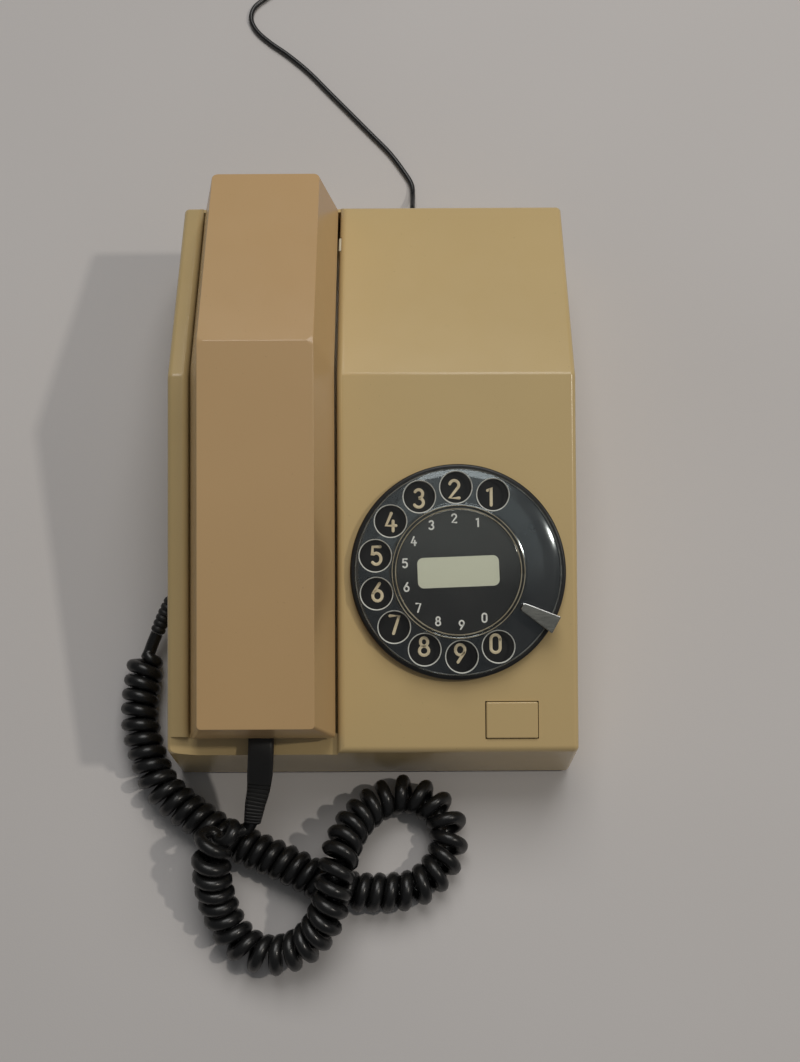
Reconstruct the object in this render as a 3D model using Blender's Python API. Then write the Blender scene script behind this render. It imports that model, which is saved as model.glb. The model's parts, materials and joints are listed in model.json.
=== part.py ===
"""Rotary dial telephone with a handset lying in a channel beside the dial.

Metres, +Z up, +Y towards the rear edge, +X to the right. The origin is the middle of the
footprint, on the surface that the feet stand on. Sizes are written in millimetres times MM.
"""

import bmesh
import bpy
from math import atan, atan2, cos, pi, radians, sin, tan
from mathutils import Matrix, Vector

MM = 0.001
GAP = 0.3 * MM  # running and fitting clearance between neighbouring pieces

# Case: a wedge that rises from the front edge to a ridge and falls again to the rear edge.
CASE_HALF_WIDTH = 76.4 * MM
CASE_HALF_DEPTH = 109.4 * MM
FRONT_HEIGHT = 40.3 * MM
RIDGE_HEIGHT = 72.6 * MM
REAR_HEIGHT = 48.9 * MM
RIDGE_Y = 27.3 * MM
SIDE_DRAFT = 0.7 * MM
END_DRAFT = 3.75 * MM
SHELL_BOTTOM = 2.2 * MM
WALL = 2.5 * MM
EDGE_RADIUS = 2.0 * MM

# Channel that the handset lies in.
CHANNEL_LEFT = -68.8 * MM
CHANNEL_RIGHT = -12.9 * MM
CHANNEL_FRONT = -102.2 * MM
CHANNEL_DEPTH = 20.0 * MM
CHANNEL_DRAFT = 1.2 * MM
LEDGE_DROP = 4.5 * MM
LEDGE_REAR = -103.7 * MM  # where the ledge's slanted sides begin
LEDGE_LOW = (-65.5 * MM, -13.4 * MM)  # the ledge's sides at its floor
LEDGE_HIGH = (-75.6 * MM, -10.9 * MM)  # and at the case's face
CHANNEL_REAR = 107.9 * MM
REAR_LEDGE_DROP = 2.0 * MM

# Handset: its back faces up and follows the case's slopes.
HANDSET_X = -40.5 * MM
HANDSET_FRONT = -104.6 * MM
HANDSET_REAR = 107.7 * MM
HANDSET_RIDGE_Y = 28.6 * MM
HANDSET_RISE = 29.0 * MM
HANDSET_TOP_HALF = 20.65 * MM
HANDSET_SPLIT_HALF = 26.7 * MM
HANDSET_SPLIT = 2.5 * MM
HANDSET_WALL = 2.2 * MM
HANDSET_RADIUS = 2.5 * MM
PAD_DEPTH = 12.0 * MM
LIP_DEPTH = 0.8 * MM
GRIP_DEPTH = 5.0 * MM
PAD_LENGTH = 52.0 * MM
CAP_HEIGHT = 6.4 * MM
CAP_RADIUS = 22.5 * MM

# Dial, in its own frame: origin on the case's lower slope, +Z square to the slope.
DIAL_X = 31.8 * MM
DIAL_Y = -44.7 * MM
CARD_RADIUS = 22.9 * MM
HOLE_PITCH_RADIUS = 31.1 * MM
HOLE_RADIUS = 6.05 * MM
HOLE_FIRST_ANGLE = 65.6
HOLE_SPACING = 25.8
HOLE_COUNT = 10
STOP_ANGLE = -29.0
DRIVE_TEETH = 30
PULSE_TEETH = 10
GOVERNOR_TEETH = 8
GEAR_MODULE = 1.15 * MM

# Recall button.
BUTTON_X = 51.6 * MM
BUTTON_Y = -98.2 * MM
BUTTON_HALF = (9.6 * MM, 6.7 * MM)
BUTTON_PROUD = 0.9 * MM

# Base, feet and fasteners.
BASE_TOP = 4.8 * MM
BASE_BOTTOM = 2.6 * MM
FOOT_PLACES = ((-62, -96), (62, -96), (62, 96), (-62, 96))
SCREW_PLACES = ((-66, -62), (66, -86), (66, 84), (-66, 62))
BOSS_PLACES = ((0, 4), (64, 4), (64, 42), (0, 42))
BOARD_LIFT = 4.5 * MM
KEYHOLE_X = 40.0 * MM
KEYHOLE_Y = 70.0 * MM
KEYHOLE_HEAD = 4.5 * MM
KEYHOLE_SLOT = 2.4 * MM
KEYHOLE_RUN = 9.0 * MM

# Ringer.
RINGER_X = 34.0 * MM
GONG_Y = 62.0 * MM

# Hook switch: a plunger in the channel's floor that the handset holds down.
HOOK_X = HANDSET_X
HOOK_Y = 38.5 * MM
PLUNGER_RADIUS = 4.0 * MM

# Cords.
BOOT_SINK = 0.9 * MM  # the boot's middle below the case's face at the handset's front end
BOOT_HALF_THICK = 2.6 * MM
CURL_RADIUS = 7.7 * MM
LEAD_RADIUS = 2.5 * MM
LINE_RADIUS = 1.1 * MM

LINE_EXIT = Matrix.Translation((16.6 * MM, 0.0, 9.2 * MM)) @ Matrix.Rotation(-pi / 2, 4, "X")
RELIEF_EXIT = (-44.0 * MM, 15.5 * MM)

TILT = atan((RIDGE_HEIGHT - FRONT_HEIGHT) / (RIDGE_Y + CASE_HALF_DEPTH))


def face_height(y):
    """Height of the case's top at y."""
    if y <= RIDGE_Y:
        return FRONT_HEIGHT + (y + CASE_HALF_DEPTH) * (RIDGE_HEIGHT - FRONT_HEIGHT) / (
            RIDGE_Y + CASE_HALF_DEPTH
        )
    return RIDGE_HEIGHT - (y - RIDGE_Y) * (RIDGE_HEIGHT - REAR_HEIGHT) / (CASE_HALF_DEPTH - RIDGE_Y)


def rest_height(y):
    """Height at y of the handset's own datum: the case's top, with the ridge a little further back."""
    if y <= HANDSET_RIDGE_Y:
        return FRONT_HEIGHT + (y + CASE_HALF_DEPTH) * tan(TILT)
    ridge = rest_height(HANDSET_RIDGE_Y)
    share = (y - HANDSET_RIDGE_Y) / (HANDSET_REAR - HANDSET_RIDGE_Y)
    return ridge + (face_height(HANDSET_REAR) - ridge) * share


def slope_frame(x, y):
    """Frame on the lower slope at (x, y) with +Z square to the slope."""
    return Matrix.Translation((x, y, face_height(y))) @ Matrix.Rotation(TILT, 4, "X")


HANDSET_FALL = atan2(rest_height(HANDSET_RIDGE_Y) - rest_height(HANDSET_REAR),
                     HANDSET_REAR - HANDSET_RIDGE_Y)
DIAL_FRAME = slope_frame(DIAL_X, DIAL_Y)
BUTTON_FRAME = slope_frame(BUTTON_X, BUTTON_Y)

for old in list(bpy.data.objects):
    bpy.data.objects.remove(old, do_unlink=True)


def material(name, color, roughness, metallic=0.0, transmission=0.0):
    made = bpy.data.materials.new(name)
    made.use_nodes = True
    shader = made.node_tree.nodes["Principled BSDF"]
    shader.inputs["Base Color"].default_value = (*color, 1.0)
    shader.inputs["Roughness"].default_value = roughness
    shader.inputs["Metallic"].default_value = metallic
    shader.inputs["Transmission Weight"].default_value = transmission
    made.diffuse_color = (*color, 1.0)
    return made


CASE_PLASTIC = material("case_plastic", (0.42, 0.34, 0.19), 0.38)
HANDSET_PLASTIC = material("handset_plastic", (0.43, 0.30, 0.17), 0.4)
BASE_PLASTIC = material("base_plastic", (0.05, 0.05, 0.05), 0.6)
BLACK_PLASTIC = material("black_plastic", (0.012, 0.012, 0.013), 0.35)
CLEAR_PLASTIC = material("clear_plastic", (0.85, 0.88, 0.88), 0.08, 0.0, 0.9)
IVORY_PLASTIC = material("ivory_plastic", (0.72, 0.66, 0.5), 0.45)
BLACK_RUBBER = material("black_rubber", (0.02, 0.02, 0.02), 0.75)
STEEL = material("steel", (0.55, 0.55, 0.55), 0.35, 1.0)
BRASS = material("brass", (0.75, 0.58, 0.28), 0.3, 1.0)
COPPER = material("copper", (0.72, 0.35, 0.2), 0.4, 1.0)
BOARD = material("board", (0.25, 0.16, 0.06), 0.6)
CORD_PVC = material("cord_pvc", (0.015, 0.015, 0.016), 0.4)


def solid(name, points, faces, look, place=None):
    """One closed mesh object with outward faces."""
    mesh = bpy.data.meshes.new(name)
    mesh.from_pydata([tuple(p) for p in points], [], faces)
    shape = bmesh.new()
    shape.from_mesh(mesh)
    bmesh.ops.recalc_face_normals(shape, faces=shape.faces)
    shape.to_mesh(mesh)
    shape.free()
    mesh.materials.append(look)
    made = bpy.data.objects.new(name, mesh)
    bpy.context.scene.collection.objects.link(made)
    if place is not None:
        made.matrix_world = place
    return made


def loft(name, rings, look, place=None):
    """Rings of the same number of points joined in order, with closed ends."""
    sides = len(rings[0])
    points = [point for ring in rings for point in ring]
    faces = [tuple(range(sides)), tuple(range(len(points) - sides, len(points)))]
    for ring in range(len(rings) - 1):
        for k in range(sides):
            a = ring * sides + k
            b = ring * sides + (k + 1) % sides
            faces.append((a, b, b + sides, a + sides))
    return solid(name, points, faces, look, place)


def block(name, low, high, look, place=None):
    rings = []
    for z in (low[2], high[2]):
        rings.append([(low[0], low[1], z), (high[0], low[1], z), (high[0], high[1], z), (low[0], high[1], z)])
    return loft(name, rings, look, place)


def plate(name, outline, bottom, top, look, place=None):
    """An outline in X and Y raised from bottom to top."""
    return loft(name, [[(x, y, z) for x, y in outline] for z in (bottom, top)], look, place)


def circle(radius, count, center=(0.0, 0.0), start=0.0):
    return [
        (center[0] + radius * cos(start + 2 * pi * k / count),
         center[1] + radius * sin(start + 2 * pi * k / count))
        for k in range(count)
    ]


def turned(name, profile, look, place=None, count=32):
    """A profile of (radius, z) turned about Z. A radius of 0 is a point on the axis."""
    points = []
    rows = []
    for radius, z in profile:
        if radius == 0:
            rows.append([len(points)] * count)
            points.append((0.0, 0.0, z))
        else:
            rows.append(list(range(len(points), len(points) + count)))
            points.extend((x, y, z) for x, y in circle(radius, count))
    faces = []
    closed = profile[0][0] != 0
    pairs = len(rows) if closed else len(rows) - 1
    for n in range(pairs):
        low = rows[n]
        high = rows[(n + 1) % len(rows)]
        for k in range(count):
            corner = [low[k], low[(k + 1) % count], high[(k + 1) % count], high[k]]
            face = list(dict.fromkeys(corner))
            if len(face) > 2:
                faces.append(tuple(face))
    made = solid(name, points, faces, look, place)
    smooth(made)
    return made


def swept(name, route, radii, look, count=8):
    """A round tube whose radius follows radii along the route."""
    route = [Vector(p) for p in route]
    rings = []
    side = Vector((0, 0, 1))
    for n, point in enumerate(route):
        ahead = route[min(n + 1, len(route) - 1)] - route[max(n - 1, 0)]
        ahead.normalize()
        side = (side - ahead * side.dot(ahead)).normalized()
        over = ahead.cross(side)
        rings.append([point + (side * cos(a) + over * sin(a)) * radii[n] for a in angles(count)])
    made = loft(name, rings, look)
    smooth(made)
    return made


def angles(count):
    return [2 * pi * k / count for k in range(count)]


def smooth(made, sharp=35):
    made.data.shade_smooth()
    made.data.set_sharp_from_angle(angle=radians(sharp))


def round_edges(made, radius, steps, wanted):
    """Round the edges for which wanted(first end, second end) holds."""
    shape = bmesh.new()
    shape.from_mesh(made.data)
    edges = [e for e in shape.edges if wanted(e.verts[0].co, e.verts[1].co)]
    bmesh.ops.bevel(shape, geom=edges, offset=radius, segments=steps, profile=0.5, affect="EDGES")
    bmesh.ops.recalc_face_normals(shape, faces=shape.faces)
    shape.to_mesh(made.data)
    shape.free()
    smooth(made)


def combine(made, tool, operation):
    """Boolean step on made; tool becomes a hidden guide."""
    tool.hide_render = True
    tool.display_type = "WIRE"
    tool.name = "guide_" + tool.name
    step = made.modifiers.new(tool.name, "BOOLEAN")
    step.operation = operation
    step.solver = "EXACT"
    step.object = tool


def cut(made, tool):
    combine(made, tool, "DIFFERENCE")


def fuse(made, tool):
    combine(made, tool, "UNION")


def smooth_route(points, spacing):
    """Points a spacing apart on the Catmull-Rom curve through the route's own points."""
    points = [Vector(p) for p in points]
    first = points[0] * 2 - points[1]
    last = points[-1] * 2 - points[-2]
    full = [first, *points, last]
    fine = []
    for n in range(1, len(full) - 2):
        a, b, c, d = full[n - 1 : n + 3]
        for k in range(24):
            t = k / 24
            square = (2 * a - 5 * b + 4 * c - d) * t * t
            cube = (3 * b - a - 3 * c + d) * t**3
            fine.append(0.5 * (2 * b + (c - a) * t + square + cube))
    fine.append(points[-1])
    length = sum((q - p).length for p, q in zip(fine, fine[1:]))
    count = max(2, round(length / spacing))
    out = [fine[0]]
    walked = 0.0
    for p, q in zip(fine, fine[1:]):
        step = (q - p).length
        while len(out) < count and walked + step >= len(out) * length / count - 1e-9:
            out.append(p.lerp(q, (len(out) * length / count - walked) / step))
        walked += step
    out.append(fine[-1])
    return out


def cord(name, points, radius, look, sides_step=2):
    """A round cord: a POLY curve with a bevel and filled ends."""
    data = bpy.data.curves.new(name, "CURVE")
    data.dimensions = "3D"
    data.bevel_depth = radius
    data.bevel_resolution = sides_step
    data.use_fill_caps = True
    spline = data.splines.new("POLY")
    spline.points.add(len(points) - 1)
    for place, point in zip(spline.points, points):
        place.co = (*point, 1.0)
    data.materials.append(look)
    made = bpy.data.objects.new(name, data)
    bpy.context.scene.collection.objects.link(made)
    return made


# ---------------------------------------------------------------- case


def slope_ring(y, left, right, top, bottom, end=0.0, draft=0.0):
    """Four corners of a section at y: the low corners move out by end along Y and draft along X."""
    return [
        (left - draft, y + end, bottom),
        (right + draft, y + end, bottom),
        (right, y, top),
        (left, y, top),
    ]


def case_hollow(name, left, right, below_face, look):
    """The space inside the case between left and right, up to below_face under the top."""
    front = -CASE_HALF_DEPTH + WALL
    rear = CASE_HALF_DEPTH - WALL
    bottom = -1.0 * MM
    rings = [
        slope_ring(front, left, right, face_height(front) - below_face, bottom, -END_DRAFT * 0.8),
        slope_ring(RIDGE_Y, left, right, RIDGE_HEIGHT - below_face, bottom),
        slope_ring(rear, left, right, face_height(rear) - below_face, bottom, END_DRAFT * 0.8),
    ]
    return loft(name, rings, look)


def ledge_cutter(name, stations, drop):
    """Cutter of a lowered edge. A station is y, the sides' x at the low floor and their x at the face."""
    over = 5 * MM
    rings = []
    for y, low, high in stations:
        top = face_height(y)
        wider = [b + (b - a) * over / drop for a, b in zip(low, high)]
        rings.append([(low[0], y, top - drop), (low[1], y, top - drop), (wider[1], y, top + over),
                      (wider[0], y, top + over)])
    return loft(name, rings, CASE_PLASTIC)


def build_case():
    half = CASE_HALF_WIDTH
    rings = [
        slope_ring(-CASE_HALF_DEPTH, -half, half, FRONT_HEIGHT, SHELL_BOTTOM, -END_DRAFT, SIDE_DRAFT),
        slope_ring(RIDGE_Y, -half, half, RIDGE_HEIGHT, SHELL_BOTTOM, 0.0, SIDE_DRAFT),
        slope_ring(CASE_HALF_DEPTH, -half, half, REAR_HEIGHT, SHELL_BOTTOM, END_DRAFT, SIDE_DRAFT),
    ]
    case = loft("case_shell", rings, CASE_PLASTIC)
    round_edges(case, EDGE_RADIUS, 3, lambda a, b: max(a.z, b.z) > 30 * MM)
    wide = CHANNEL_DRAFT
    above = 30 * MM
    low_left = CHANNEL_LEFT + wide
    low_right = CHANNEL_RIGHT - wide
    channel = []
    for y in (CHANNEL_FRONT, RIDGE_Y, CHANNEL_REAR):
        top = face_height(y)
        floor = top - CHANNEL_DEPTH
        channel.append(
            [
                (low_left, y, floor),
                (low_right, y, floor),
                (CHANNEL_RIGHT, y, top - 1.5 * MM),
                (CHANNEL_RIGHT + 1.5 * MM, y, top + 0.05 * MM),
                (CHANNEL_RIGHT + 1.5 * MM, y, top + above),
                (CHANNEL_LEFT - 1.0 * MM, y, top + above),
                (CHANNEL_LEFT - 1.0 * MM, y, top + 0.05 * MM),
                (CHANNEL_LEFT, y, top - 1.5 * MM),
            ]
        )
    cut(case, loft("channel", channel, CASE_PLASTIC))
    beyond = 8 * MM
    low = (CHANNEL_LEFT, CHANNEL_RIGHT)
    slanted = [(-CASE_HALF_DEPTH - beyond, LEDGE_LOW, LEDGE_HIGH), (LEDGE_REAR, LEDGE_LOW, LEDGE_HIGH)]
    straight = [(LEDGE_REAR + 0.05 * MM, low, low), (CHANNEL_FRONT + 1 * MM, low, low)]
    cut(case, ledge_cutter("front_ledge", slanted + straight, LEDGE_DROP))
    behind = [(CHANNEL_REAR - 0.5 * MM, low, low), (CASE_HALF_DEPTH + beyond, low, low)]
    cut(case, ledge_cutter("rear_ledge", behind, REAR_LEDGE_DROP))
    right_wall = CHANNEL_RIGHT + WALL + 1.0 * MM
    cut(case, case_hollow("right_hollow", right_wall, half - WALL, WALL, CASE_PLASTIC))
    under_channel = CHANNEL_DEPTH + WALL
    cut(case, case_hollow("left_hollow", -half + WALL, right_wall + 1 * MM, under_channel, CASE_PLASTIC))
    cut(case, turned("dial_opening", [(0, -9 * MM), (33.5 * MM, -9 * MM), (33.5 * MM, 9 * MM), (0, 9 * MM)],
                     CASE_PLASTIC, DIAL_FRAME, 40))
    wide_x = BUTTON_HALF[0] + GAP
    wide_y = BUTTON_HALF[1] + GAP
    cut(case, block("button_opening", (-wide_x, -wide_y, -9 * MM), (wide_x, wide_y, 9 * MM), CASE_PLASTIC,
                    BUTTON_FRAME))
    plunger_hole = circle(PLUNGER_RADIUS + GAP, 16, (HOOK_X, HOOK_Y))
    floor = face_height(HOOK_Y) - CHANNEL_DEPTH
    cut(case, plate("plunger_opening", plunger_hole, floor - 9 * MM, floor + 9 * MM, CASE_PLASTIC))
    cut(case, build_lug())
    line_hole = [(0, 100 * MM), (3.3 * MM, 100 * MM), (3.3 * MM, 120 * MM), (0, 120 * MM)]
    cut(case, turned("line_opening", line_hole, CASE_PLASTIC, LINE_EXIT, 16))
    y, z = RELIEF_EXIT
    place = Matrix.Translation((0, y, z)) @ Matrix.Rotation(-pi / 2, 4, "Y")
    cord_hole = [(0, 66 * MM), (3.7 * MM, 66 * MM), (3.7 * MM, 84 * MM), (0, 84 * MM)]
    cut(case, turned("relief_opening", cord_hole, CASE_PLASTIC, place, 16))


def build_lug():
    """The small lug that keeps a hung-up handset in its channel. Returns the cutter of its pocket."""
    y = 90.6 * MM
    top = face_height(y) - 1.2 * MM
    outline = [(-0.75, -2.6), (0.0, -3.4), (2.2, -3.4), (2.2, 3.4), (0.0, 3.4), (-0.75, 2.6)]
    outline = [(CHANNEL_RIGHT + (0.15 + a) * MM, y + b * MM) for a, b in outline]
    plate("handset_lug", outline, top - 4 * MM, top, IVORY_PLASTIC)
    return block("lug_pocket", (CHANNEL_RIGHT - 3 * MM, y - 3.7 * MM, top - 4.3 * MM),
                 (CHANNEL_RIGHT + 2.65 * MM, y + 3.7 * MM, top + GAP), CASE_PLASTIC)


def keyhole(side):
    """Outline of a hanging slot: a round head with a narrower slot towards the rear edge."""
    x = side * KEYHOLE_X
    turn = atan2(KEYHOLE_SLOT, (KEYHOLE_HEAD**2 - KEYHOLE_SLOT**2) ** 0.5)
    head = []
    for k in range(17):
        a = pi / 2 + turn + (2 * pi - 2 * turn) * k / 16
        head.append((x + KEYHOLE_HEAD * cos(a), KEYHOLE_Y + KEYHOLE_HEAD * sin(a)))
    tail = []
    for k in range(7):
        a = pi * k / 6
        tail.append((x + KEYHOLE_SLOT * cos(a), KEYHOLE_Y + KEYHOLE_RUN + KEYHOLE_SLOT * sin(a)))
    return head + tail


def build_base():
    in_x = CASE_HALF_WIDTH - WALL - GAP
    in_y = CASE_HALF_DEPTH - 1.0 * MM
    base = block("base_plate", (-in_x, -in_y, BASE_BOTTOM), (in_x, in_y, BASE_TOP), BASE_PLASTIC)
    under = BASE_BOTTOM - 2 * MM
    over = BASE_TOP + 2 * MM
    for side, name in ((-1, "left"), (1, "right")):
        cut(base, plate(name + "_keyhole", keyhole(side), under, over, BASE_PLASTIC))
    for n, (x, y) in enumerate(BOSS_PLACES):
        fuse(base, plate(f"board_boss_{n + 1}", circle(2.6 * MM, 10, (x * MM, y * MM)), BASE_TOP - 1 * MM,
                         BASE_TOP + BOARD_LIFT - GAP, BASE_PLASTIC))
    for kind, places, radius in (("foot", FOOT_PLACES, 2.5 * MM), ("screw", SCREW_PLACES, 1.6 * MM)):
        for n, (x, y) in enumerate(places):
            hole = circle(radius + GAP, 12, (x * MM, y * MM))
            cut(base, plate(f"{kind}_hole_{n + 1}", hole, under, over, BASE_PLASTIC))


def build_feet_and_screws():
    foot = [(0, 0), (5.6, 0), (7.0, 0.9), (7.0, 2.3), (2.5, 2.3), (2.5, 5.1), (3.4, 5.1), (2.2, 7.4),
            (0, 7.4)]
    for n, (x, y) in enumerate(FOOT_PLACES):
        profile = [(r * MM, z * MM) for r, z in foot]
        turned(f"foot_{n + 1}", profile, BLACK_RUBBER, Matrix.Translation((x * MM, y * MM, 0)), 12)
    screw = [(0, 1.1), (2.2, 1.1), (3.1, 1.5), (3.1, 2.3), (1.6, 2.3), (1.6, 10.5), (0, 12)]
    for n, (x, y) in enumerate(SCREW_PLACES):
        profile = [(r * MM, z * MM) for r, z in screw]
        turned(f"case_screw_{n + 1}", profile, STEEL, Matrix.Translation((x * MM, y * MM, 0)), 12)


# ---------------------------------------------------------------- dial


def hole_angle(n):
    return radians(HOLE_FIRST_ANGLE + HOLE_SPACING * n)


def gear_outline(teeth):
    """Outline of a spur gear with straight-sided teeth."""
    pitch = teeth * GEAR_MODULE / 2
    tip = pitch + 0.75 * GEAR_MODULE
    root = pitch - 1.05 * GEAR_MODULE
    out = []
    for k in range(teeth):
        a = 2 * pi * k / teeth
        step = 2 * pi / teeth
        for radius, part in ((tip, -0.12), (tip, 0.12), (root, 0.32), (root, 0.68)):
            out.append((radius * cos(a + part * step), radius * sin(a + part * step)))
    return out


def spot(x, y, z=0.0, turn=0.0):
    """A frame at (x, y, z) in the dial's frame, turned about the dial's axis."""
    return DIAL_FRAME @ Matrix.Translation((x, y, z)) @ Matrix.Rotation(turn, 4, "Z")


def meshing_spot(teeth, tooth):
    """Frame of a pinion in mesh with the drive gear, opposite the gear's tooth of that number."""
    reach = (DRIVE_TEETH + teeth) * GEAR_MODULE / 2 + 0.15 * MM
    a = 2 * pi * tooth / DRIVE_TEETH
    return spot(reach * cos(a), reach * sin(a), 0.0, a + pi + pi / teeth)


def build_dial():
    number_plate = [(5.2, 1.0), (30.0, 1.0), (30.0, -4.6), (32.6, -4.6), (32.6, 0.3), (39.6, 0.3),
                    (40.0, 0.8), (40.0, 2.9), (39.6, 3.4), (5.2, 3.4)]
    turned("number_plate", [(r * MM, z * MM) for r, z in number_plate], BLACK_PLASTIC, DIAL_FRAME, 56)
    wheel = [(3.3, 4.4), (38.0, 4.4), (38.3, 4.7), (38.3, 5.2), (36.5, 5.9), (33.0, 6.5), (28.0, 6.8),
             (25.6, 6.8), (25.0, 7.9), (23.5, 7.9), (23.5, 5.6), (3.3, 5.6)]
    finger_wheel = turned("finger_wheel", [(r * MM, z * MM) for r, z in wheel], CLEAR_PLASTIC, DIAL_FRAME, 56)
    for n in range(HOLE_COUNT):
        a = hole_angle(n)
        hole = circle(HOLE_RADIUS, 20, (HOLE_PITCH_RADIUS * cos(a), HOLE_PITCH_RADIUS * sin(a)))
        cut(finger_wheel, plate(f"finger_hole_{n + 1}", hole, 3.9 * MM, 9 * MM, CLEAR_PLASTIC, DIAL_FRAME))
    card = [(0, 6.0 * MM), (CARD_RADIUS, 6.0 * MM), (CARD_RADIUS, 6.4 * MM), (0, 6.4 * MM)]
    turned("number_card", card, BLACK_PLASTIC, DIAL_FRAME, 40)
    cover = [(0, 6.7), (23.2, 6.7), (23.2, 7.9), (22.4, 8.5), (0, 8.8)]
    turned("card_cover", [(r * MM, z * MM) for r, z in cover], CLEAR_PLASTIC, DIAL_FRAME, 40)
    shaft = [(0, -27), (2.0, -27), (2.0, -25.0), (3.0, -25.0), (3.0, 5.9), (0, 5.9)]
    turned("dial_shaft", [(r * MM, z * MM) for r, z in shaft], STEEL, DIAL_FRAME, 16)
    frame = [(3.4, -19.5), (33.2, -19.5), (33.2, -5.2), (31.8, -5.2), (31.8, -18.0), (3.4, -18.0)]
    turned("dial_frame", [(r * MM, z * MM) for r, z in frame], BASE_PLASTIC, DIAL_FRAME, 36)

    gear = plate("drive_gear", gear_outline(DRIVE_TEETH), -10.0 * MM, -8.0 * MM, BRASS, DIAL_FRAME)
    bore = circle(3.0 * MM + GAP, 16)
    cut(gear, plate("drive_gear_bore", bore, -11 * MM, -7 * MM, BRASS, DIAL_FRAME))
    place = meshing_spot(PULSE_TEETH, 17)
    outline = gear_outline(PULSE_TEETH)
    cam = [(-4.6, -2.2), (4.6, -2.2), (4.6, 2.2), (-4.6, 2.2)]
    plate("pulse_pinion", outline, -10.0 * MM, -8.0 * MM, STEEL, place)
    plate("pulse_cam", [(a * MM, b * MM) for a, b in cam], -13.5 * MM, -10.3 * MM, IVORY_PLASTIC, place)

    place = meshing_spot(GOVERNOR_TEETH, 2)
    plate("governor_pinion", gear_outline(GOVERNOR_TEETH), -10.0 * MM, -8.0 * MM, STEEL, place)
    drum = [(0, -16.5), (1.2, -16.5), (1.2, -15.0), (5.8, -15.0), (5.8, -11.5), (2.0, -10.3), (0, -10.3)]
    turned("governor_drum", [(r * MM, z * MM) for r, z in drum], BRASS, place, 20)

    coils = []
    turns = 3.2
    count = 52
    for k in range(count + 1):
        a = 2 * pi * turns * k / count
        radius = (4.6 + 1.75 * a / (2 * pi)) * MM
        coils.append((radius * cos(a), radius * sin(a), radius))
    thick = 0.25 * MM
    rings = []
    for x, y, radius in coils:
        out = Vector((x, y, 0)).normalized() * thick
        rings.append([(x - out.x, y - out.y, -16.5 * MM), (x + out.x, y + out.y, -16.5 * MM),
                      (x + out.x, y + out.y, -12.0 * MM), (x - out.x, y - out.y, -12.0 * MM)])
    loft("mainspring", rings, STEEL, DIAL_FRAME)
    block("pulse_contacts", (-2.5 * MM, -6 * MM, -17.5 * MM), (2.5 * MM, 6 * MM, -11 * MM), IVORY_PLASTIC,
          spot(-8 * MM, -20.5 * MM, 0.0, radians(20)))

    a = radians(STOP_ANGLE)
    stop = [(26.2, -1.2), (27.0, -1.9), (38.9, -3.1), (40.7, -3.3), (40.7, 3.3), (38.9, 3.1),
            (27.0, 1.5), (26.2, 0.8)]
    place = spot(0, 0, 0, a)
    arm = plate("finger_stop", [(x * MM, y * MM) for x, y in stop], 3.7 * MM, 9.0 * MM, STEEL, place)
    under = [(x * MM, y * MM) for x, y in ((20, -8), (38.9, -8), (38.9, 8), (20, 8))]
    cut(arm, plate("stop_underside", under, 2 * MM, 8.3 * MM, STEEL, place))


# ---------------------------------------------------------------- recall button


def build_button():
    x, y = BUTTON_HALF
    rim = 0.5 * MM
    cap = []
    for inset, z in ((0.0, -2.4 * MM), (0.0, BUTTON_PROUD - rim), (rim, BUTTON_PROUD)):
        a = x - inset
        b = y - inset
        cap.append([(-a, -b, z), (a, -b, z), (a, b, z), (-a, b, z)])
    loft("recall_button", cap, CASE_PLASTIC, BUTTON_FRAME)
    block("recall_stem", (-2 * MM, -2 * MM, -7.5 * MM), (2 * MM, 2 * MM, -2.7 * MM), IVORY_PLASTIC,
          BUTTON_FRAME)
    block("recall_switch", (-6 * MM, -4 * MM, -18 * MM), (6 * MM, 4 * MM, -10.6 * MM), BLACK_PLASTIC,
          BUTTON_FRAME)


# ---------------------------------------------------------------- hook switch


def build_hook():
    floor = face_height(HOOK_Y) - CHANNEL_DEPTH
    top = rest_height(HOOK_Y) - GRIP_DEPTH - 1.7 * MM
    foot = floor - WALL - 10.5 * MM
    profile = [(0, foot), (6.2 * MM, foot), (6.2 * MM, foot + 1.5 * MM), (PLUNGER_RADIUS, foot + 1.5 * MM),
               (PLUNGER_RADIUS, top - 1.2 * MM), (PLUNGER_RADIUS - 1.2 * MM, top), (0, top)]
    turned("hook_plunger", profile, IVORY_PLASTIC, Matrix.Translation((HOOK_X, HOOK_Y, 0)), 16)
    lever_thick = 1.6 * MM
    lever_low = foot - GAP - lever_thick
    lever = [(-3.0, -32), (3.0, -32), (3.0, 5), (-3.0, 5)]
    outline = [(HOOK_X + a * MM, HOOK_Y + b * MM) for a, b in lever]
    plate("hook_lever", outline, lever_low, lever_low + lever_thick, STEEL)
    cheek_top = lever_low + 4.2 * MM
    bracket = block("hook_bracket", (HOOK_X - 6.5 * MM, HOOK_Y - 38 * MM, BASE_TOP + GAP),
                    (HOOK_X + 6.5 * MM, HOOK_Y - 24 * MM, cheek_top), STEEL)
    cut(bracket, block("bracket_slot", (HOOK_X - 4.5 * MM, HOOK_Y - 60 * MM, BASE_TOP + 2 * MM),
                       (HOOK_X + 4.5 * MM, HOOK_Y, cheek_top + 5 * MM), STEEL))
    block("hook_contacts", (HOOK_X - 8 * MM, HOOK_Y + 9 * MM, BASE_TOP + GAP),
          (HOOK_X + 8 * MM, HOOK_Y + 20 * MM, lever_low + 3 * MM), IVORY_PLASTIC)
    coil = []
    steps = 10
    count = 7 * steps
    wide = 4 * MM
    low = BASE_TOP + 1.2 * MM
    high = lever_low - 1.0 * MM
    for k in range(count + 1):
        a = 2 * pi * k / steps
        height = low + (high - low) * k / count
        coil.append((HOOK_X + wide * cos(a), HOOK_Y - wide + wide * sin(a), height))
    swept("hook_spring", coil, [0.4 * MM] * len(coil), STEEL, 6)


# ---------------------------------------------------------------- electrics


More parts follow.
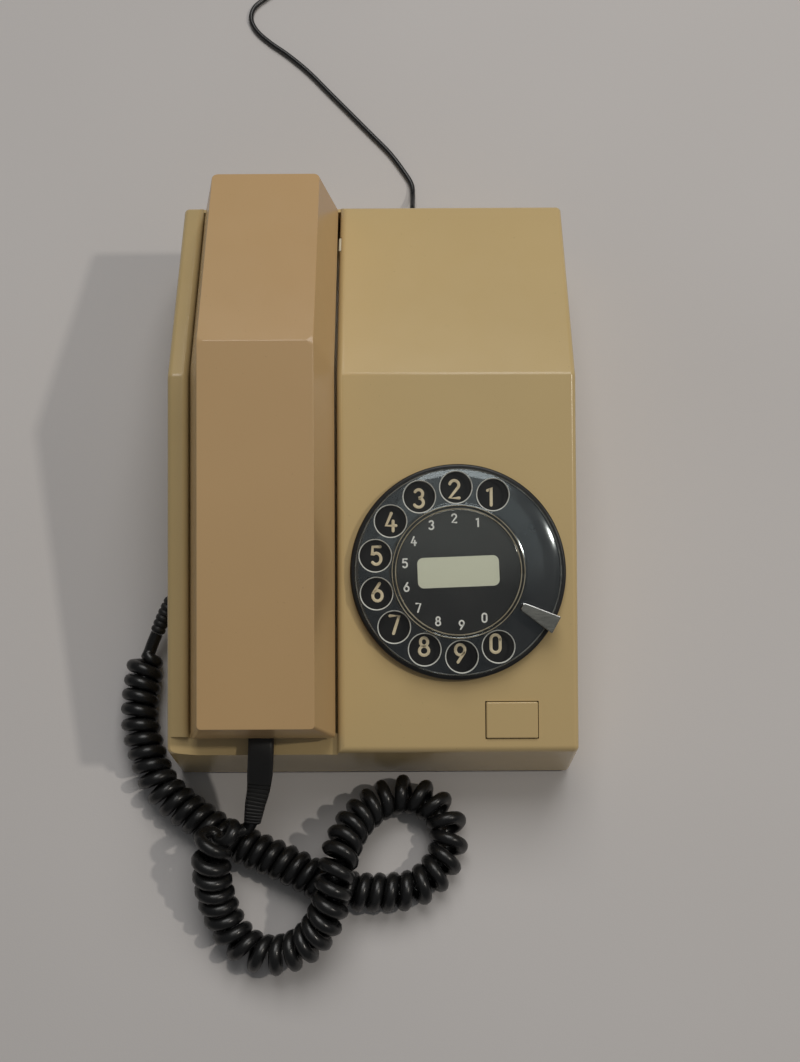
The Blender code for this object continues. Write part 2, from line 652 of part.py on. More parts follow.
def build_electrics():
    board_z = BASE_TOP + BOARD_LIFT
    block("circuit_board", (-4 * MM, 0 * MM, board_z), (68 * MM, 46 * MM, board_z + 1.6 * MM), BOARD)
    on_board = board_z + 1.6 * MM + GAP
    block("induction_coil", (2 * MM, 6 * MM, on_board), (26 * MM, 30 * MM, on_board + 20 * MM), COPPER)
    turned("capacitor", [(0, 0), (7 * MM, 0), (7 * MM, 26 * MM), (0, 26 * MM)], BASE_PLASTIC,
           Matrix.Translation((42 * MM, 18 * MM, on_board)), 16)
    block("terminal_block", (4 * MM, 84 * MM, BASE_TOP + GAP), (34 * MM, 98 * MM, BASE_TOP + 12 * MM),
          IVORY_PLASTIC)
    x = RINGER_X
    frame = block("ringer_frame", (x - 28 * MM, 54 * MM, BASE_TOP + GAP),
                  (x + 28 * MM, 78 * MM, BASE_TOP + 3 * MM), STEEL)
    turned("ringer_coil", [(0, 0), (9 * MM, 0), (9 * MM, 17 * MM), (0, 17 * MM)], COPPER,
           Matrix.Translation((x, 66 * MM, BASE_TOP + 3.3 * MM)), 20)
    gong = [(0, 12), (7, 12), (14, 8.5), (16, 0), (14.6, 0), (12.9, 7.3), (6.6, 10.6), (0, 10.6)]
    for name, center in (("gong_low", (x - 21.5 * MM, GONG_Y)), ("gong_high", (x + 21.5 * MM, GONG_Y))):
        profile = [(r * MM, z * MM) for r, z in gong]
        post = circle(2.5 * MM, 12, center)
        fuse(frame, plate(name + "_post", post, BASE_TOP + 2 * MM, BASE_TOP + 33.3 * MM, STEEL))
        turned(name, profile, BRASS, Matrix.Translation((*center, BASE_TOP + 23 * MM)), 24)
    arm_z = BASE_TOP + 23.5 * MM
    arm = [(-0.8, 8), (-0.8, -4), (-2.1, -6), (-2.1, -8.5), (2.1, -8.5), (2.1, -6), (0.8, -4), (0.8, 8)]
    plate("clapper", [(x + a * MM, GONG_Y + b * MM) for a, b in arm], arm_z, arm_z + 2.5 * MM, STEEL)


# ---------------------------------------------------------------- handset


def handset_ring(y, inset, top, bottom, flare=0.0, end=0.0):
    high = HANDSET_TOP_HALF - inset
    low = HANDSET_SPLIT_HALF - inset + flare
    return [(HANDSET_X - low, y + end, bottom), (HANDSET_X + low, y + end, bottom),
            (HANDSET_X + high, y, top), (HANDSET_X - high, y, top)]


def handset_front_solid(name, inset, look):
    slope = (HANDSET_SPLIT_HALF - HANDSET_TOP_HALF) / (HANDSET_RISE - HANDSET_SPLIT)
    below = 4 * MM if inset else 0.0
    rings = []
    for y in (HANDSET_FRONT + inset, HANDSET_RIDGE_Y, HANDSET_REAR - inset):
        face = rest_height(y)
        top = face + HANDSET_RISE - inset
        rings.append(handset_ring(y, inset, top, face + HANDSET_SPLIT - below, below * slope))
    return loft(name, rings, look)


def rear_shell_rings(inset, top_raise):
    """Sections of the handset's lower half: a lip over the ledge, deep ends and a shallow grip."""
    front = HANDSET_FRONT + 0.5 * MM + inset
    rear = HANDSET_REAR - 0.5 * MM - inset
    lip_end = HANDSET_FRONT + 2.4 * MM + inset
    stations = [
        (front, LIP_DEPTH), (lip_end, LIP_DEPTH), (lip_end + 0.7 * MM, PAD_DEPTH),
        (HANDSET_FRONT + PAD_LENGTH, PAD_DEPTH),
        (HANDSET_FRONT + PAD_LENGTH + 12 * MM, GRIP_DEPTH), (HANDSET_RIDGE_Y, GRIP_DEPTH),
        (HANDSET_REAR - PAD_LENGTH - 10 * MM, GRIP_DEPTH), (HANDSET_REAR - PAD_LENGTH + 2 * MM, PAD_DEPTH),
        (rear, PAD_DEPTH),
    ]
    rings = []
    for y, depth in stations:
        face = rest_height(y)
        wide = HANDSET_SPLIT_HALF - 0.5 * MM - inset
        narrow = wide - 1.6 * MM * depth / PAD_DEPTH
        top = face + HANDSET_SPLIT - GAP + top_raise
        low = face - depth + inset
        rings.append([(HANDSET_X - narrow, y, low), (HANDSET_X + narrow, y, low),
                      (HANDSET_X + wide, y, top), (HANDSET_X - wide, y, top)])
    return rings


def build_handset():
    front = handset_front_solid("handset_front_shell", 0.0, HANDSET_PLASTIC)
    split_rise = HANDSET_RISE - 1 * MM
    round_edges(front, HANDSET_RADIUS, 3,
                lambda *ends: max(end.z - rest_height(end.y) for end in ends) > split_rise)
    cut(front, handset_front_solid("front_shell_hollow", HANDSET_WALL, HANDSET_PLASTIC))

    rear = loft("handset_rear_shell", rear_shell_rings(0.0, 0.0), HANDSET_PLASTIC)
    cut(rear, loft("rear_shell_hollow", rear_shell_rings(HANDSET_WALL, 6 * MM), HANDSET_PLASTIC))
    mouth_y = HANDSET_FRONT + 27 * MM
    ear_y = HANDSET_REAR - 27 * MM
    ear_tilt = -HANDSET_FALL
    mouth = Matrix.Translation((HANDSET_X, mouth_y, rest_height(mouth_y))) @ Matrix.Rotation(TILT, 4, "X")
    ear = Matrix.Translation((HANDSET_X, ear_y, rest_height(ear_y))) @ Matrix.Rotation(ear_tilt, 4, "X")
    for name, place, tilt in (("mouthpiece", mouth, TILT), ("earpiece", ear, ear_tilt)):
        low = -PAD_DEPTH * cos(tilt)
        opening = [(0, low - 4 * MM), (16 * MM, low - 4 * MM), (16 * MM, low + 4 * MM), (0, low + 4 * MM)]
        cut(rear, turned(name + "_opening", opening, HANDSET_PLASTIC, place, 28))
        rim = low - GAP
        foot = rim - CAP_HEIGHT
        cap = [(0, foot + 1.2 * MM), (14 * MM, foot + 0.4 * MM), (17 * MM, foot), (21 * MM, foot),
               (CAP_RADIUS, foot + 1.5 * MM), (CAP_RADIUS, rim), (0, rim)]
        shell = turned(name + "_cap", cap, HANDSET_PLASTIC, place, 32)
        holes = []
        for k in range(6):
            a = pi * k / 3
            holes.append(circle(1.3 * MM, 8, (8 * MM * cos(a), 8 * MM * sin(a))))
        for k, ring in enumerate(holes):
            hole = f"{name}_sound_hole_{k + 1}"
            cut(shell, plate(hole, ring, foot - 2 * MM, rim + 2 * MM, HANDSET_PLASTIC, place))
        floor = low + HANDSET_WALL + GAP
        capsule = [(0, floor), (20 * MM, floor), (20 * MM, floor + 9 * MM), (0, floor + 9 * MM)]
        turned(name + "_capsule", capsule, STEEL, place, 28)
    for n, y in enumerate((-33 * MM, 14 * MM)):
        low = rest_height(y) - GRIP_DEPTH
        tilt = TILT if y < HANDSET_RIDGE_Y else ear_tilt
        place = Matrix.Translation((HANDSET_X, y, low)) @ Matrix.Rotation(tilt, 4, "X")
        bore = [(0, -3 * MM), (1.6 * MM + GAP, -3 * MM), (1.6 * MM + GAP, 5 * MM), (0, 5 * MM)]
        cut(rear, turned(f"handset_screw_hole_{n + 1}", bore, HANDSET_PLASTIC, place, 12))
        screw = [(0, -1.9), (2.0, -1.9), (2.7, -1.4), (2.7, -0.3), (1.6, -0.3), (1.6, 12.0), (0, 13.0)]
        turned(f"handset_screw_{n + 1}", [(r * MM, z * MM) for r, z in screw], STEEL, place, 12)
    low = rest_height(HANDSET_FRONT) - BOOT_SINK - BOOT_HALF_THICK - GAP
    notch = block("boot_notch", (HANDSET_X - 6.1 * MM, HANDSET_FRONT - 3 * MM, low),
                  (HANDSET_X + 4.1 * MM, HANDSET_FRONT + 6 * MM, low + 20 * MM), HANDSET_PLASTIC)
    cut(rear, notch)


# ---------------------------------------------------------------- cords

BOOT_TIP = (-46.2, -132.8, 20.0)
# Middle line of the curly cord, in millimetres, from the case's relief to the boot's tip.
CURL_ROUTE = [
    (-91.4, -69.8, 8.1), (-92.6, -77.4, 7.9), (-93.2, -85.4, 7.9), (-93.0, -93.4, 7.9),
    (-91.2, -101.4, 7.9), (-88.4, -109.4, 7.9), (-85.2, -116.6, 7.9), (-80.2, -122.6, 7.9),
    (-74.2, -127.6, 7.9), (-66.4, -133.0, 7.9), (-58.0, -138.6, 7.9), (-47.5, -143.2, 7.9),
    (-37.0, -147.6, 7.9), (-26.5, -152.6, 7.9), (-17.0, -157.2, 7.9), (-6.0, -159.4, 7.9),
    (6.0, -159.6, 7.9), (14.5, -158.4, 7.9), (21.5, -154.2, 7.9), (26.2, -148.4, 7.9),
    (28.6, -141.8, 7.9), (28.4, -134.6, 7.9), (24.6, -128.6, 7.9), (18.6, -124.4, 8.0),
    (11.0, -122.6, 8.7), (3.6, -124.8, 10.4), (-3.4, -129.4, 13.2), (-8.4, -135.2, 17.0),
    (-11.4, -141.6, 20.8), (-13.4, -149.0, 23.6), (-15.0, -156.8, 23.9), (-16.6, -164.4, 22.0),
    (-19.6, -171.4, 18.6), (-24.6, -177.2, 14.8), (-31.2, -181.0, 11.6), (-38.8, -182.4, 9.2),
    (-46.0, -180.8, 8.1), (-52.0, -176.6, 8.1), (-56.6, -170.0, 9.8), (-59.6, -162.4, 13.4),
    (-61.0, -154.8, 18.0), (-61.2, -147.6, 22.0), (-60.4, -141.4, 23.7), (-58.8, -136.6, 23.8),
]
# The straight lead between the case's relief and the first turn.
LEAD_ROUTE = [(-87.3, -58.9, 11.1), (-89.4, -63.8, 9.6), (-91.2, -69.2, 8.2)]
RELIEF_ROUTE = [(-74.4, -44.0, 15.5), (-77.4, -44.0, 15.5), (-80.6, -46.0, 14.9), (-84.2, -52.0, 12.9),
                (-87.1, -58.5, 11.3)]
# Line cord: out of the rear wall, down to the surface and away.
LINE_ROUTE = [
    (16.6, 125.9, 9.2), (16.6, 130.0, 8.6), (16.7, 135.0, 5.6), (16.8, 140.6, 2.6), (16.3, 146.6, 1.4),
    (12.6, 153.4, 1.3), (6.6, 162.2, 1.3), (-2.0, 172.0, 1.3), (-11.2, 182.4, 1.3), (-20.8, 193.2, 1.3),
    (-30.2, 203.8, 1.3), (-39.6, 212.6, 1.3), (-48.2, 219.4, 1.3), (-54.4, 225.6, 1.3), (-57.4, 232.2, 1.3),
    (-56.0, 238.4, 1.3), (-50.6, 243.6, 1.3), (-43.6, 249.2, 1.5), (-37.6, 255.8, 1.8),
    (-33.2, 262.9, 2.1),
]
# The neat coil of the rest of the line cord, in millimetres, and the short tail to its plug.
COIL_CENTER = (-14.0, 270.0)
COIL_RADIUS = 13.2
COIL_HALF_WIDTH = 5.6
COIL_LOW = 1.0
COIL_HIGH = 10.0
TAIL_ROUTE = [(-3.9, 287.6, 8.8), (0.6, 284.6, 7.8), (5.2, 280.6, 5.6), (9.4, 276.4, 4.3)]


def millimetres(points):
    return [tuple(v * MM for v in p) for p in points]


def build_handset_cord():
    relief = smooth_route(millimetres(RELIEF_ROUTE), 1.6 * MM)
    radii = []
    for n in range(len(relief)):
        share = n / (len(relief) - 1)
        rib = 0.35 * MM if n % 2 else 0.0
        radii.append((3.3 - 0.45 * share) * MM - rib)
    swept("base_cord_relief", relief, radii, BLACK_RUBBER, 10)
    cord("handset_cord_lead", smooth_route(millimetres(LEAD_ROUTE), 4 * MM), LEAD_RADIUS, CORD_PVC)
    cord("handset_cord", smooth_route(millimetres(CURL_ROUTE), 9 * MM), CURL_RADIUS, CORD_PVC, 2)

    start = Vector((HANDSET_X - 1.0 * MM, HANDSET_FRONT + 4.5 * MM, face_height(HANDSET_FRONT) - BOOT_SINK))
    route = [start, start + Vector((0, -9 * MM, 0)), Vector((-42.6 * MM, -120.5 * MM, 33.5 * MM)),
             Vector((-44.6 * MM, -127.4 * MM, 27.4 * MM)), Vector([v * MM for v in BOOT_TIP])]
    path = smooth_route(route, 3.2 * MM)
    rings = []
    for n, point in enumerate(path):
        share = n / (len(path) - 1)
        ahead = (path[min(n + 1, len(path) - 1)] - path[max(n - 1, 0)]).normalized()
        over = Vector((1, 0, 0))
        over = (over - ahead * over.dot(ahead)).normalized()
        up = over.cross(ahead)
        wide = (4.7 - 1.5 * max(0.0, share - 0.45) / 0.55) * MM
        thick = BOOT_HALF_THICK * (1 - 0.08 * share)
        corner = 0.62
        ring = []
        for a, b in ((-1, -corner), (-corner, -1), (corner, -1), (1, -corner), (1, corner), (corner, 1),
                     (-corner, 1), (-1, corner)):
            ring.append(point + over * wide * a + up * thick * b)
        rings.append(ring)
    smooth(loft("handset_boot", rings, BLACK_RUBBER))


def build_line_cord():
    gland = [(0, 0), (4.0, 0), (4.0, 1.6), (3.0, 1.6), (3.0, 6.6), (4.0, 6.8), (2.0, 18.6), (0, 18.6)]
    profile = [(r * MM, h * MM) for r, h in gland]
    turned("line_gland", profile, BLACK_RUBBER, LINE_EXIT @ Matrix.Translation((0, 0, 107.0 * MM)), 16)
    cord("line_cord", smooth_route(millimetres(LINE_ROUTE), 5 * MM), LINE_RADIUS, CORD_PVC)
    middle = Matrix.Translation((COIL_CENTER[0] * MM, COIL_CENTER[1] * MM, 0))
    inner = (COIL_RADIUS - COIL_HALF_WIDTH) * MM
    outer = (COIL_RADIUS + COIL_HALF_WIDTH) * MM
    low = COIL_LOW * MM
    high = COIL_HIGH * MM
    turned("line_cord_coil", [(inner, low), (outer, low), (outer, high), (inner, high)], CORD_PVC, middle, 28)
    thick = 0.6 * MM
    half = 2.0 * MM
    around = thick + GAP
    tie = block("coil_tie", (inner - around, -half, low - around), (outer + around, half, high + around),
                IVORY_PLASTIC, middle)
    cut(tie, block("tie_inside", (inner - GAP, -2 * half, low - GAP), (outer + GAP, 2 * half, high + GAP),
                   IVORY_PLASTIC, middle))
    cord("line_cord_tail", smooth_route(millimetres(TAIL_ROUTE), 4 * MM), LINE_RADIUS, CORD_PVC)
    ahead = Vector(TAIL_ROUTE[-1]) - Vector(TAIL_ROUTE[-2])
    turn = atan2(ahead.y, ahead.x)
    end = Vector(TAIL_ROUTE[-1]) * MM
    place = Matrix.Translation((end.x, end.y, 0)) @ Matrix.Rotation(turn, 4, "Z")
    side = [(0.5, 1.0), (12.0, 1.0), (12.0, 7.6), (10.6, 7.6), (9.8, 8.4), (3.0, 10.2), (2.2, 9.6),
            (8.6, 7.6), (0.5, 7.6)]
    rings = [[(a * MM, b, h * MM) for a, h in side] for b in (-4.8 * MM, 4.8 * MM)]
    loft("line_plug", rings, CLEAR_PLASTIC, place)


build_case()
build_base()
build_feet_and_screws()
build_dial()
build_button()
build_hook()
build_electrics()
build_handset()
build_handset_cord()
build_line_cord()
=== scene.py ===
"""Looks of the rotary dial telephone: fine meshes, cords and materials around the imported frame.

Metres, +Z up, in the frame's own axes. Sizes are written in millimetres times MM.
"""

import json
from math import asin, atan, atan2, cos, pi, radians, sin, tan

import bmesh
import bpy
from mathutils import Matrix, Vector


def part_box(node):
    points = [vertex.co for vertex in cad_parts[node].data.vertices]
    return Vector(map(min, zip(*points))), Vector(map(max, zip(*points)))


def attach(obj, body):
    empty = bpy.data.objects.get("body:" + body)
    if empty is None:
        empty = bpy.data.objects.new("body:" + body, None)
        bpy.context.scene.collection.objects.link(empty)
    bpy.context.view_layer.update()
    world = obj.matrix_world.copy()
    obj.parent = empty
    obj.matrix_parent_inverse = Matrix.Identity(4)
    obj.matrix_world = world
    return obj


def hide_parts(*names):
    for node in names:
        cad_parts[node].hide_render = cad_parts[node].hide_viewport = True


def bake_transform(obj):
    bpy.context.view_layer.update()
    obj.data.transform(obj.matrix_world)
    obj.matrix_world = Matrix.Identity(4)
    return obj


MM = 0.001
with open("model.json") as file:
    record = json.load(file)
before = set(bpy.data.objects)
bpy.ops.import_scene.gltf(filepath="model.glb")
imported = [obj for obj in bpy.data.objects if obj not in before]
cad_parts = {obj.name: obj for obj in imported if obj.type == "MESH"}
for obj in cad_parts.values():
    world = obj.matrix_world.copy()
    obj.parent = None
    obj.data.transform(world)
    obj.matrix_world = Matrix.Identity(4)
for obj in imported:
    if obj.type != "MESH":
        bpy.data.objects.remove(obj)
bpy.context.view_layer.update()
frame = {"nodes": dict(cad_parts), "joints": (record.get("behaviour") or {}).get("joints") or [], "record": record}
JOINTS = {joint["name"]: joint for joint in frame["joints"]}
LOOK = {}  # each material by its name, filled by Nodes

# Driving sizes, the same as the CAD model's.
CASE_HALF_WIDTH = 76.4 * MM
CASE_HALF_DEPTH = 109.4 * MM
FRONT_HEIGHT = 40.3 * MM
RIDGE_HEIGHT = 72.6 * MM
REAR_HEIGHT = 48.9 * MM
RIDGE_Y = 27.3 * MM
SIDE_DRAFT = 0.7 * MM
END_DRAFT = 3.75 * MM
SHELL_BOTTOM = 2.2 * MM
WALL = 2.5 * MM
CHANNEL_LEFT = -68.8 * MM
CHANNEL_RIGHT = -12.9 * MM
CHANNEL_FRONT = -102.2 * MM
CHANNEL_REAR = 107.9 * MM
CHANNEL_DEPTH = 20.0 * MM
CHANNEL_DRAFT = 1.2 * MM
LEDGE_DROP = 4.5 * MM
REAR_LEDGE_DROP = 2.0 * MM
LEDGE_REAR = -103.7 * MM  # where the front ledge's slanted sides begin
LEDGE_LEFT_LOW = -65.5 * MM  # the ledge's left side at its floor
LEDGE_LEFT_HIGH = -75.6 * MM  # and at the case's face
RIM_RADIUS = 2.8 * MM  # rounding of the channel's upper edges
RIM_STEPS = 7
OVER = 4 * MM  # how far the channel's cutter reaches over the face
RIDGE_EASE = 0.7 * MM  # half the length of the ridge's rounding
CASE_ROUNDING = 2.0 * MM
HANDSET_X = -40.5 * MM
HANDSET_FRONT = -104.6 * MM
HANDSET_REAR = 107.7 * MM
HANDSET_RIDGE_Y = 28.6 * MM
HANDSET_RISE = 29.0 * MM
HANDSET_TOP_HALF = 20.65 * MM
HANDSET_SPLIT_HALF = 26.7 * MM
HANDSET_SPLIT = 2.5 * MM
HANDSET_WALL = 2.2 * MM
PAD_DEPTH = 12.0 * MM
LIP_DEPTH = 0.8 * MM
GRIP_DEPTH = 5.0 * MM
PAD_LENGTH = 52.0 * MM
GAP = 0.3 * MM
TILT = atan((RIDGE_HEIGHT - FRONT_HEIGHT) / (RIDGE_Y + CASE_HALF_DEPTH))


def face_height(y):
    """Height of the case's top at y."""
    if y <= RIDGE_Y:
        return FRONT_HEIGHT + (y + CASE_HALF_DEPTH) * tan(TILT)
    return RIDGE_HEIGHT - (y - RIDGE_Y) * (RIDGE_HEIGHT - REAR_HEIGHT) / (CASE_HALF_DEPTH - RIDGE_Y)


def rest_height(y):
    """Height at y of the handset's own datum."""
    if y <= HANDSET_RIDGE_Y:
        return FRONT_HEIGHT + (y + CASE_HALF_DEPTH) * tan(TILT)
    ridge = rest_height(HANDSET_RIDGE_Y)
    share = (y - HANDSET_RIDGE_Y) / (HANDSET_REAR - HANDSET_RIDGE_Y)
    return ridge + (face_height(HANDSET_REAR) - ridge) * share


HANDSET_FALL = atan2(rest_height(HANDSET_RIDGE_Y) - rest_height(HANDSET_REAR), HANDSET_REAR - HANDSET_RIDGE_Y)
DIAL_FRAME = Matrix.Translation(JOINTS["dial_turn"]["pos_m"]) @ Matrix.Rotation(TILT, 4, "X")

# ---------------------------------------------------------------- camera

CAMERA_PLACE = (0.01051, -0.16063, 0.54427)
CAMERA_TURN = (radians(15.09), radians(0.01), radians(-0.30))
CAMERA_LENS = 45.76


def build_camera():
    data = bpy.data.cameras.new("camera")
    data.sensor_width = 36.0
    data.lens = CAMERA_LENS
    data.clip_start = 0.01
    data.clip_end = 20.0
    camera = bpy.data.objects.new("camera", data)
    turn_x = Matrix.Rotation(CAMERA_TURN[0], 4, "X")
    turn_y = Matrix.Rotation(CAMERA_TURN[1], 4, "Y")
    turn_z = Matrix.Rotation(CAMERA_TURN[2], 4, "Z")
    camera.matrix_world = Matrix.Translation(CAMERA_PLACE) @ turn_x @ turn_y @ turn_z
    bpy.context.scene.collection.objects.link(camera)
    bpy.context.scene.camera = camera


# ---------------------------------------------------------------- mesh helpers


def add_object(name, data, look, place=None):
    """An object with the finish called look, or none for a cutting tool."""
    if look:
        data.materials.append(LOOK[look])
    made = bpy.data.objects.new(name, data)
    bpy.context.scene.collection.objects.link(made)
    if place is not None:
        data.transform(place)
    return made


def smooth(made, sharp=32):
    made.data.shade_smooth()
    made.data.set_sharp_from_angle(angle=radians(sharp))
    return made


def even_normals(made):
    """Flat faces keep flat shading next to rounded edges."""
    step = made.modifiers.new("Even normals", "WEIGHTED_NORMAL")
    step.keep_sharp = True
    step.weight = 80
    return made


def solid(name, points, faces, look, place=None):
    mesh = bpy.data.meshes.new(name)
    mesh.from_pydata([tuple(p) for p in points], [], faces)
    shape = bmesh.new()
    shape.from_mesh(mesh)
    bmesh.ops.recalc_face_normals(shape, faces=shape.faces)
    shape.to_mesh(mesh)
    shape.free()
    return add_object(name, mesh, look, place)


def loft(name, rings, look, place=None):
    """A closed solid through rings of equally many points."""
    sides = len(rings[0])
    points = [point for ring in rings for point in ring]
    faces = [tuple(range(sides)), tuple(range(len(points) - sides, len(points)))]
    for ring in range(len(rings) - 1):
        for k in range(sides):
            a = ring * sides + k
            b = ring * sides + (k + 1) % sides
            faces.append((a, b, b + sides, a + sides))
    return solid(name, points, faces, look, place)


def plate(name, outline, bottom, top, look, place=None):
    return loft(name, [[(x, y, z) for x, y in outline] for z in (bottom, top)], look, place)


def block(name, low, high, look, place=None):
    outline = [(low[0], low[1]), (high[0], low[1]), (high[0], high[1]), (low[0], high[1])]
    return plate(name, outline, low[2], high[2], look, place)


def turn_angles(count):
    return [2 * pi * k / count for k in range(count)]


def circle(radius, count, center=(0.0, 0.0)):
    return [(center[0] + radius * cos(a), center[1] + radius * sin(a)) for a in turn_angles(count)]


def rounded_box(half_x, half_y, corner, steps=4):
    """Outline of a box about the origin with round corners."""
    out = []
    for side_x, side_y, first in ((1, 1, 0), (-1, 1, 1), (-1, -1, 2), (1, -1, 3)):
        for k in range(steps + 1):
            a = (first + k / steps) * pi / 2
            x = side_x * (half_x - corner) + corner * cos(a)
            out.append((x, side_y * (half_y - corner) + corner * sin(a)))
    return out


def in_mm(outline):
    return [(a * MM, b * MM) for a, b in outline]


def placed(spot, angle, axis="X"):
    return Matrix.Translation(spot) @ Matrix.Rotation(angle, 4, axis)


def turned(name, profile, look, place=None, count=64, sharp=32):
    """A profile of (radius, z) turned about Z. A radius of 0 is a point on the axis."""
    points = []
    rows = []
    for radius, z in profile:
        if radius == 0:
            rows.append([len(points)] * count)
            points.append((0.0, 0.0, z))
        else:
            rows.append(list(range(len(points), len(points) + count)))
            points.extend((x, y, z) for x, y in circle(radius, count))
    faces = []
    pairs = len(rows) if profile[0][0] != 0 else len(rows) - 1
    for n in range(pairs):
        low = rows[n]
        high = rows[(n + 1) % len(rows)]
        for k in range(count):
            face = list(dict.fromkeys([low[k], low[(k + 1) % count], high[(k + 1) % count], high[k]]))
            if len(face) > 2:
                faces.append(tuple(face))
    return smooth(solid(name, points, faces, look, place), sharp)
def drill(radius, low, high, place, count=32):
    """A round cutting tool between two heights of its place."""
    return turned("bore", [(0, low), (radius, low), (radius, high), (0, high)], None, place, count)

def rounded_profile(profile, radius, steps=4):
    """The same closed (radius, z) outline with each corner off the axis rounded."""
    out = []
    count = len(profile)
    for n, point in enumerate(profile):
        here = Vector(point)
        before = Vector(profile[n - 1]) - here
        after = Vector(profile[(n + 1) % count]) - here
        if point[0] == 0 or before.length == 0 or after.length == 0:
            out.append(point)
            continue
        cut_back = min(radius, before.length * 0.45, after.length * 0.45)
        first = here + before.normalized() * cut_back
        last = here + after.normalized() * cut_back
        for k in range(steps + 1):
            t = k / steps
            spot = first * (1 - t) ** 2 + here * 2 * t * (1 - t) + last * t * t
            out.append((spot.x, spot.y))
    return out


def frames_along(route):
    """(point, side, over, ahead) along a route, with as little twist as the route allows."""
    out = []
    side = None
    for n, point in enumerate(route):
        ahead = (route[min(n + 1, len(route) - 1)] - route[max(n - 1, 0)]).normalized()
        if side is None:
            side = Vector((0, 0, 1)) if abs(ahead.z) < 0.9 else Vector((1, 0, 0))
        side = (side - ahead * side.dot(ahead)).normalized()
        out.append((point, side, ahead.cross(side), ahead))
    return out


def swept(name, route, radii, look, count=12):
    """A round tube whose radius follows radii along the route, with closed ends."""
    rings = []
    for (point, side, over, _), radius in zip(frames_along(route), radii):
        rings.append([point + (side * cos(a) + over * sin(a)) * radius for a in turn_angles(count)])
    return smooth(loft(name, rings, look), 50)


def cut(made, *tools):
    """Subtracts the tools, which are removed."""
    for tool in tools:
        step = made.modifiers.new(tool.name, "BOOLEAN")
        step.operation = "DIFFERENCE"
        step.solver = "EXACT"
        step.object = tool
    bpy.context.view_layer.update()
    graph = bpy.context.evaluated_depsgraph_get()
    mesh = bpy.data.meshes.new_from_object(made.evaluated_get(graph))
    made.modifiers.clear()
    made.data = mesh
    for tool in tools:
        bpy.data.objects.remove(tool, do_unlink=True)


def round_edges(made, radius, steps, wanted, merge_flat=True, clamp=True):
    """Rounds the edges for which wanted(edge) holds."""
    shape = bmesh.new()
    shape.from_mesh(made.data)
    if merge_flat:
        bmesh.ops.dissolve_limit(shape, angle_limit=radians(0.5), verts=shape.verts, edges=shape.edges)
    edges = [e for e in shape.edges if len(e.link_faces) == 2 and wanted(e)]
    bmesh.ops.bevel(shape, geom=edges, offset=radius, segments=steps, profile=0.5, affect="EDGES",
                     clamp_overlap=clamp)
    bmesh.ops.recalc_face_normals(shape, faces=shape.faces)
    shape.to_mesh(made.data)
    shape.free()
    return smooth(made)


def convex(edge, least=6):
    return edge.calc_face_angle_signed(0.0) > radians(least)


def joined(name, parts):
    """One object from several, which are removed."""
    shape = bmesh.new()
    for part in parts:
        shape.from_mesh(part.data)
    mesh = bpy.data.meshes.new(name)
    for look in parts[0].data.materials:
        mesh.materials.append(look)
    shape.to_mesh(mesh)
    shape.free()
    for part in parts:
        bpy.data.objects.remove(part, do_unlink=True)
    return smooth(add_object(name, mesh, None), 40)


def smooth_route(points, spacing):
    """Points a spacing apart on the Catmull-Rom curve through the route's own points."""
    points = [Vector(p) for p in points]
    full = [points[0] * 2 - points[1], *points, points[-1] * 2 - points[-2]]
    fine = []
    for n in range(1, len(full) - 2):
        a, b, c, d = full[n - 1 : n + 3]
        for k in range(24):
            t = k / 24
            curve = (2 * a - 5 * b + 4 * c - d) * t * t + (3 * b - a - 3 * c + d) * t**3
            fine.append(0.5 * (2 * b + (c - a) * t + curve))
    fine.append(points[-1])
    length = path_length(fine)
    count = max(2, round(length / spacing))
    out = [fine[0]]
    walked = 0.0
    for p, q in zip(fine, fine[1:]):
        step = (q - p).length
        while len(out) < count and walked + step >= len(out) * length / count - 1e-9:
            out.append(p.lerp(q, (len(out) * length / count - walked) / step))
        walked += step
    out.append(fine[-1])
    return out


def path_length(points):
    return sum((q - p).length for p, q in zip(points, points[1:]))


def millimetres(points):
    return [Vector(p) * MM for p in points]


# ---------------------------------------------------------------- materials


